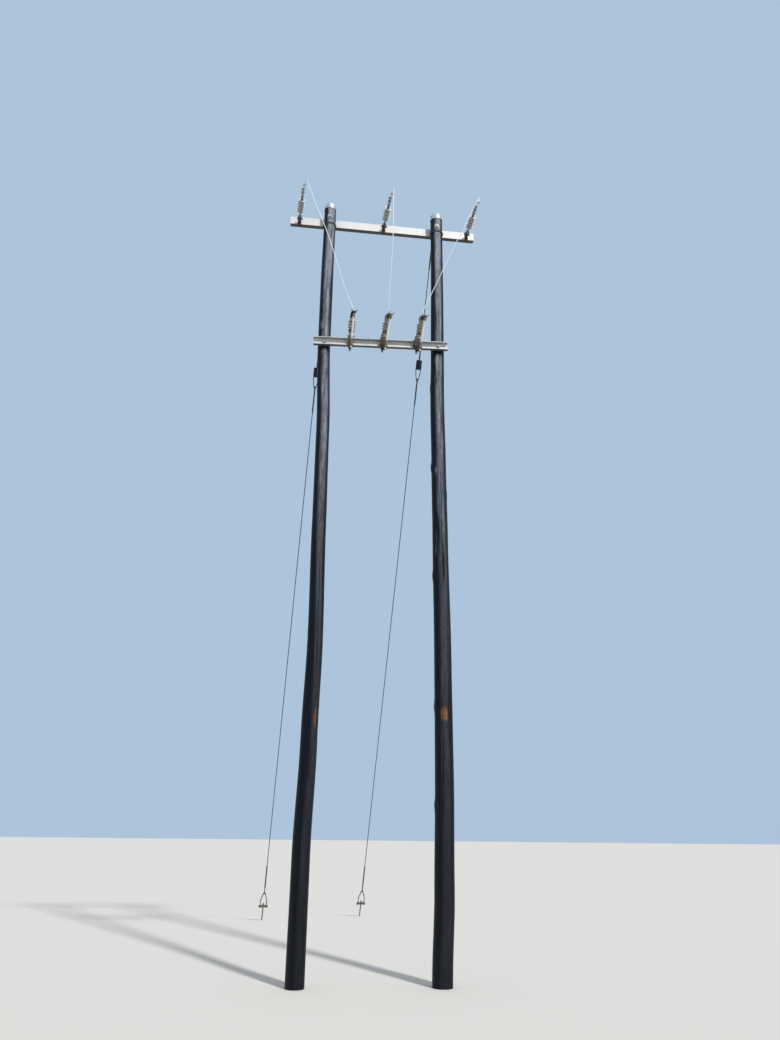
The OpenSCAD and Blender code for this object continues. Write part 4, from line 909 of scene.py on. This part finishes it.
# the stay's strand along a route
def strandShell(route, across=(0, 1, 0)):
    path, run = evenRoute(route, stayParts["spacing"])
    return swept(path, run, stayParts["wire"], across, stayParts["wires"], stayParts["pitch"])


# a grip's wires laid round the strand from one station to another
def gripShell(start, end, radius=stayParts["grip"]):
    path, run = evenRoute([(0, 0, start), (0, 0, end)], stayParts["spacing"])
    return swept(path, run, radius, (0, 1, 0), stayParts["gripWires"], stayParts["gripPitch"])


# stranded wire with helical grips, tied round the pole above and through the bow below; the coil sinks
# by one wire's width in its two turns
def makeStay(side):
    m = stayParts
    start, axes, length, middle, wrap = stayFrame(side)
    seat, bow = stays[side]["insulator"], length - m["bowTop"]
    a = np.radians(np.arange(stays[side]["tie"], stays[side]["tie"] + 721, 5))
    tight = wrap - m["snug"]
    sunk = -m["sink"] / tight * (a - a[0]) / (a[-1] - a[0])
    coil = np.stack([np.cos(a), np.sin(a), sunk], -1) * tight + middle
    loop = smoothRoute(loopRoute(m["loop"], m["loopLeg"], m["loopEnd"], -1), 4) + (0, 0, seat + 0.012)
    upper = [gripShell(0.002, m["topGrip"], 0.01), strandShell([(0, 0, 0.44), (0, 0, seat - 0.5)]),
             gripShell(seat - m["gripFar"], seat - m["gripNear"]), strandShell(loop)]
    upper = moved(upper, start, axes) + [strandShell(coil, (0, 0, 1))]
    putMesh("upper_stay_" + side, upper, mats["stayStrand"], replaces="stay_top_" + side,
            sharp=80)
    loop = strandShell(smoothRoute(loopRoute(m["loop"], m["loopLeg"], m["loopEnd"], 1), 4))
    lower = [moved(loop, (0, 0, seat - 0.012), turn("z", 90)),
             gripShell(seat + m["gripNear"], seat + m["gripFar"]),
             strandShell([(0, 0, seat + 0.58), (0, 0, bow - 0.1)]), gripShell(bow - 0.5, bow - 0.1),
             moved(strandShell(smoothRoute(loopRoute(0.017, 0.03, 0.15, -1), 4)), (0, 0, bow - 0.002))]
    putMesh("lower_stay_" + side, moved(lower, start, axes), mats["stayStrand"],
            replaces="stay_wire_" + side, sharp=80)


# the bent bow, its crosshead and nuts, and the anchor rod whose last ring slides down to z = 0
def makeBow(side):
    m = stayParts
    start, axes, length = stayFrame(side)[:3]
    w, leg = m["bowHalf"], m["bowTop"] - m["crosshead"]
    half = [(w, leg + 0.04), (w, leg - 0.1), (w * 0.7, leg - 0.16), (0.02, 0.03), (0.015, 0.009),
            (0.008, 0.002)]
    bend = [(0, -y, z) for y, z in half] + [(0, 0, 0)] + [(0, y, z) for y, z in half[::-1]]
    path, run = evenRoute(smoothRoute(bend, 6), 0.006)
    crosshead = slab(softened(square * (0.017, w + 0.026), 0.006, 4, True), 0.02, 0.001)
    parts = [swept(path, run, m["bowR"], (1, 0, 0)), moved(crosshead, (0, 0, leg))]
    for s in (-1, 1):
        parts += [moved(hexagon(0.014, 0.012), (0, s * w, leg + 0.02)),
                  moved(threaded(m["bowR"], 0.022, 0.002), (0, s * w, leg + 0.02))]
    base = start + axes @ np.array([0, 0, length - m["bowTop"]])
    putMesh("bent_bow_" + side, moved(parts, base, axes), mats["dullSteel"],
            replaces="stay_bow_" + side)
    a = angles(32)
    base = start + axes @ np.array([0, 0, length - m["crosshead"]])
    rings = rayRings([(m["rod"], s) for s in (0.03, 0.1, 0.2, m["crosshead"])], a) @ axes.T + base
    down = axes[:, 2]
    rings[-1] -= rings[-1][:, 2:] / down[2] * down
    top = [moved(threaded(m["rod"], 0.085, 0.0025), (0, 0, -0.05)),
           moved(hexagon(0.018, 0.016), (0, 0, -0.018))]
    putMesh("anchor_rod_" + side, [skin(rings)] + moved(top, base, axes), mats["dullSteel"],
            replaces="stay_rod_" + side)


for side in stays:
    makeStay(side)
    makeBow(side)
print("stays done")

# the pieces that keep their solids, by the start of their names; a later, longer name wins
finishes = {"upper_arm": "paleZinc", "lower_arm": "greyZinc", "strain_bracket": "darkStrap",
            "cutout_bracket": "rustyStrap", "shackle": "endSteel", "strain_clamp": "clampAluminium",
            "cutout_irons": "paleIrons", "cutout_irons_left": "darkIrons", "fuse_carrier": "castBronze",
            "stay_insulator": "brownGlaze"}
for nodeName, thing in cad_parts.items():
    for stem, key in finishes.items():
        if nodeName == stem or nodeName.startswith(stem + "_") and not nodeName.endswith("_bolts"):
            thing.data.materials.clear()
            thing.data.materials.append(mats[key])
print("solids dressed")

studio = {"lampTurn": 30.0, "lampHeight": 45.0, "lampPower": 2.5, "lampSize": 4.0,
          "lampTone": (1.0, 0.97, 0.92), "fill": 0.52, "fillTone": (0.86, 0.9, 0.95),
          "backdrop": (0.42, 0.55, 0.70), "floor": (0.74, 0.73, 0.71), "floorRough": 0.9, "floorHalf": 60.0,
          "floorDrop": 0.001}


# floor, lamp, and a backdrop for the camera and for reflections, with an even fill light for the rest
def makeStudio(s):
    pale = newMaterial("paleFloor", Roughness=s["floorRough"], Base_Color=(*s["floor"], 1.0))[0]
    corners = np.c_[square * s["floorHalf"], np.full(4, -s["floorDrop"])]
    putMesh("floor", (corners, [[0, 1, 2, 3]]), pale, body=None)
    world = bpy.data.worlds.new("studio")
    world.use_nodes = True
    t = world.node_tree
    back = t.nodes["Background"]
    back.inputs["Color"].default_value = (*s["fillTone"], 1.0)
    back.inputs["Strength"].default_value = s["fill"]
    shown = node(t, "Background", {"Color": (*s["backdrop"], 1.0), "Strength": 1.0})
    ray = node(t, "LightPath").outputs
    seen = maths(t, "MAXIMUM", ray["Is Glossy Ray"], ray["Is Transmission Ray"])
    seen = maths(t, "MAXIMUM", ray["Is Camera Ray"], seen)
    mix = node(t, "MixShader", {0: seen, 1: back.outputs[0], 2: shown.outputs[0]})
    t.links.new(mix.outputs[0], t.nodes["World Output"].inputs["Surface"])
    scene.world = world
    lamp = bpy.data.lights.new("sun", "SUN")
    lamp.energy = s["lampPower"]
    lamp.angle = math.radians(s["lampSize"])
    lamp.color = s["lampTone"]
    sun = bpy.data.objects.new("sun", lamp)
    sun.rotation_euler = (math.radians(90 - s["lampHeight"]), 0, math.radians(s["lampTurn"]))
    scene.collection.objects.link(sun)


makeStudio(studio)
print("studio done")
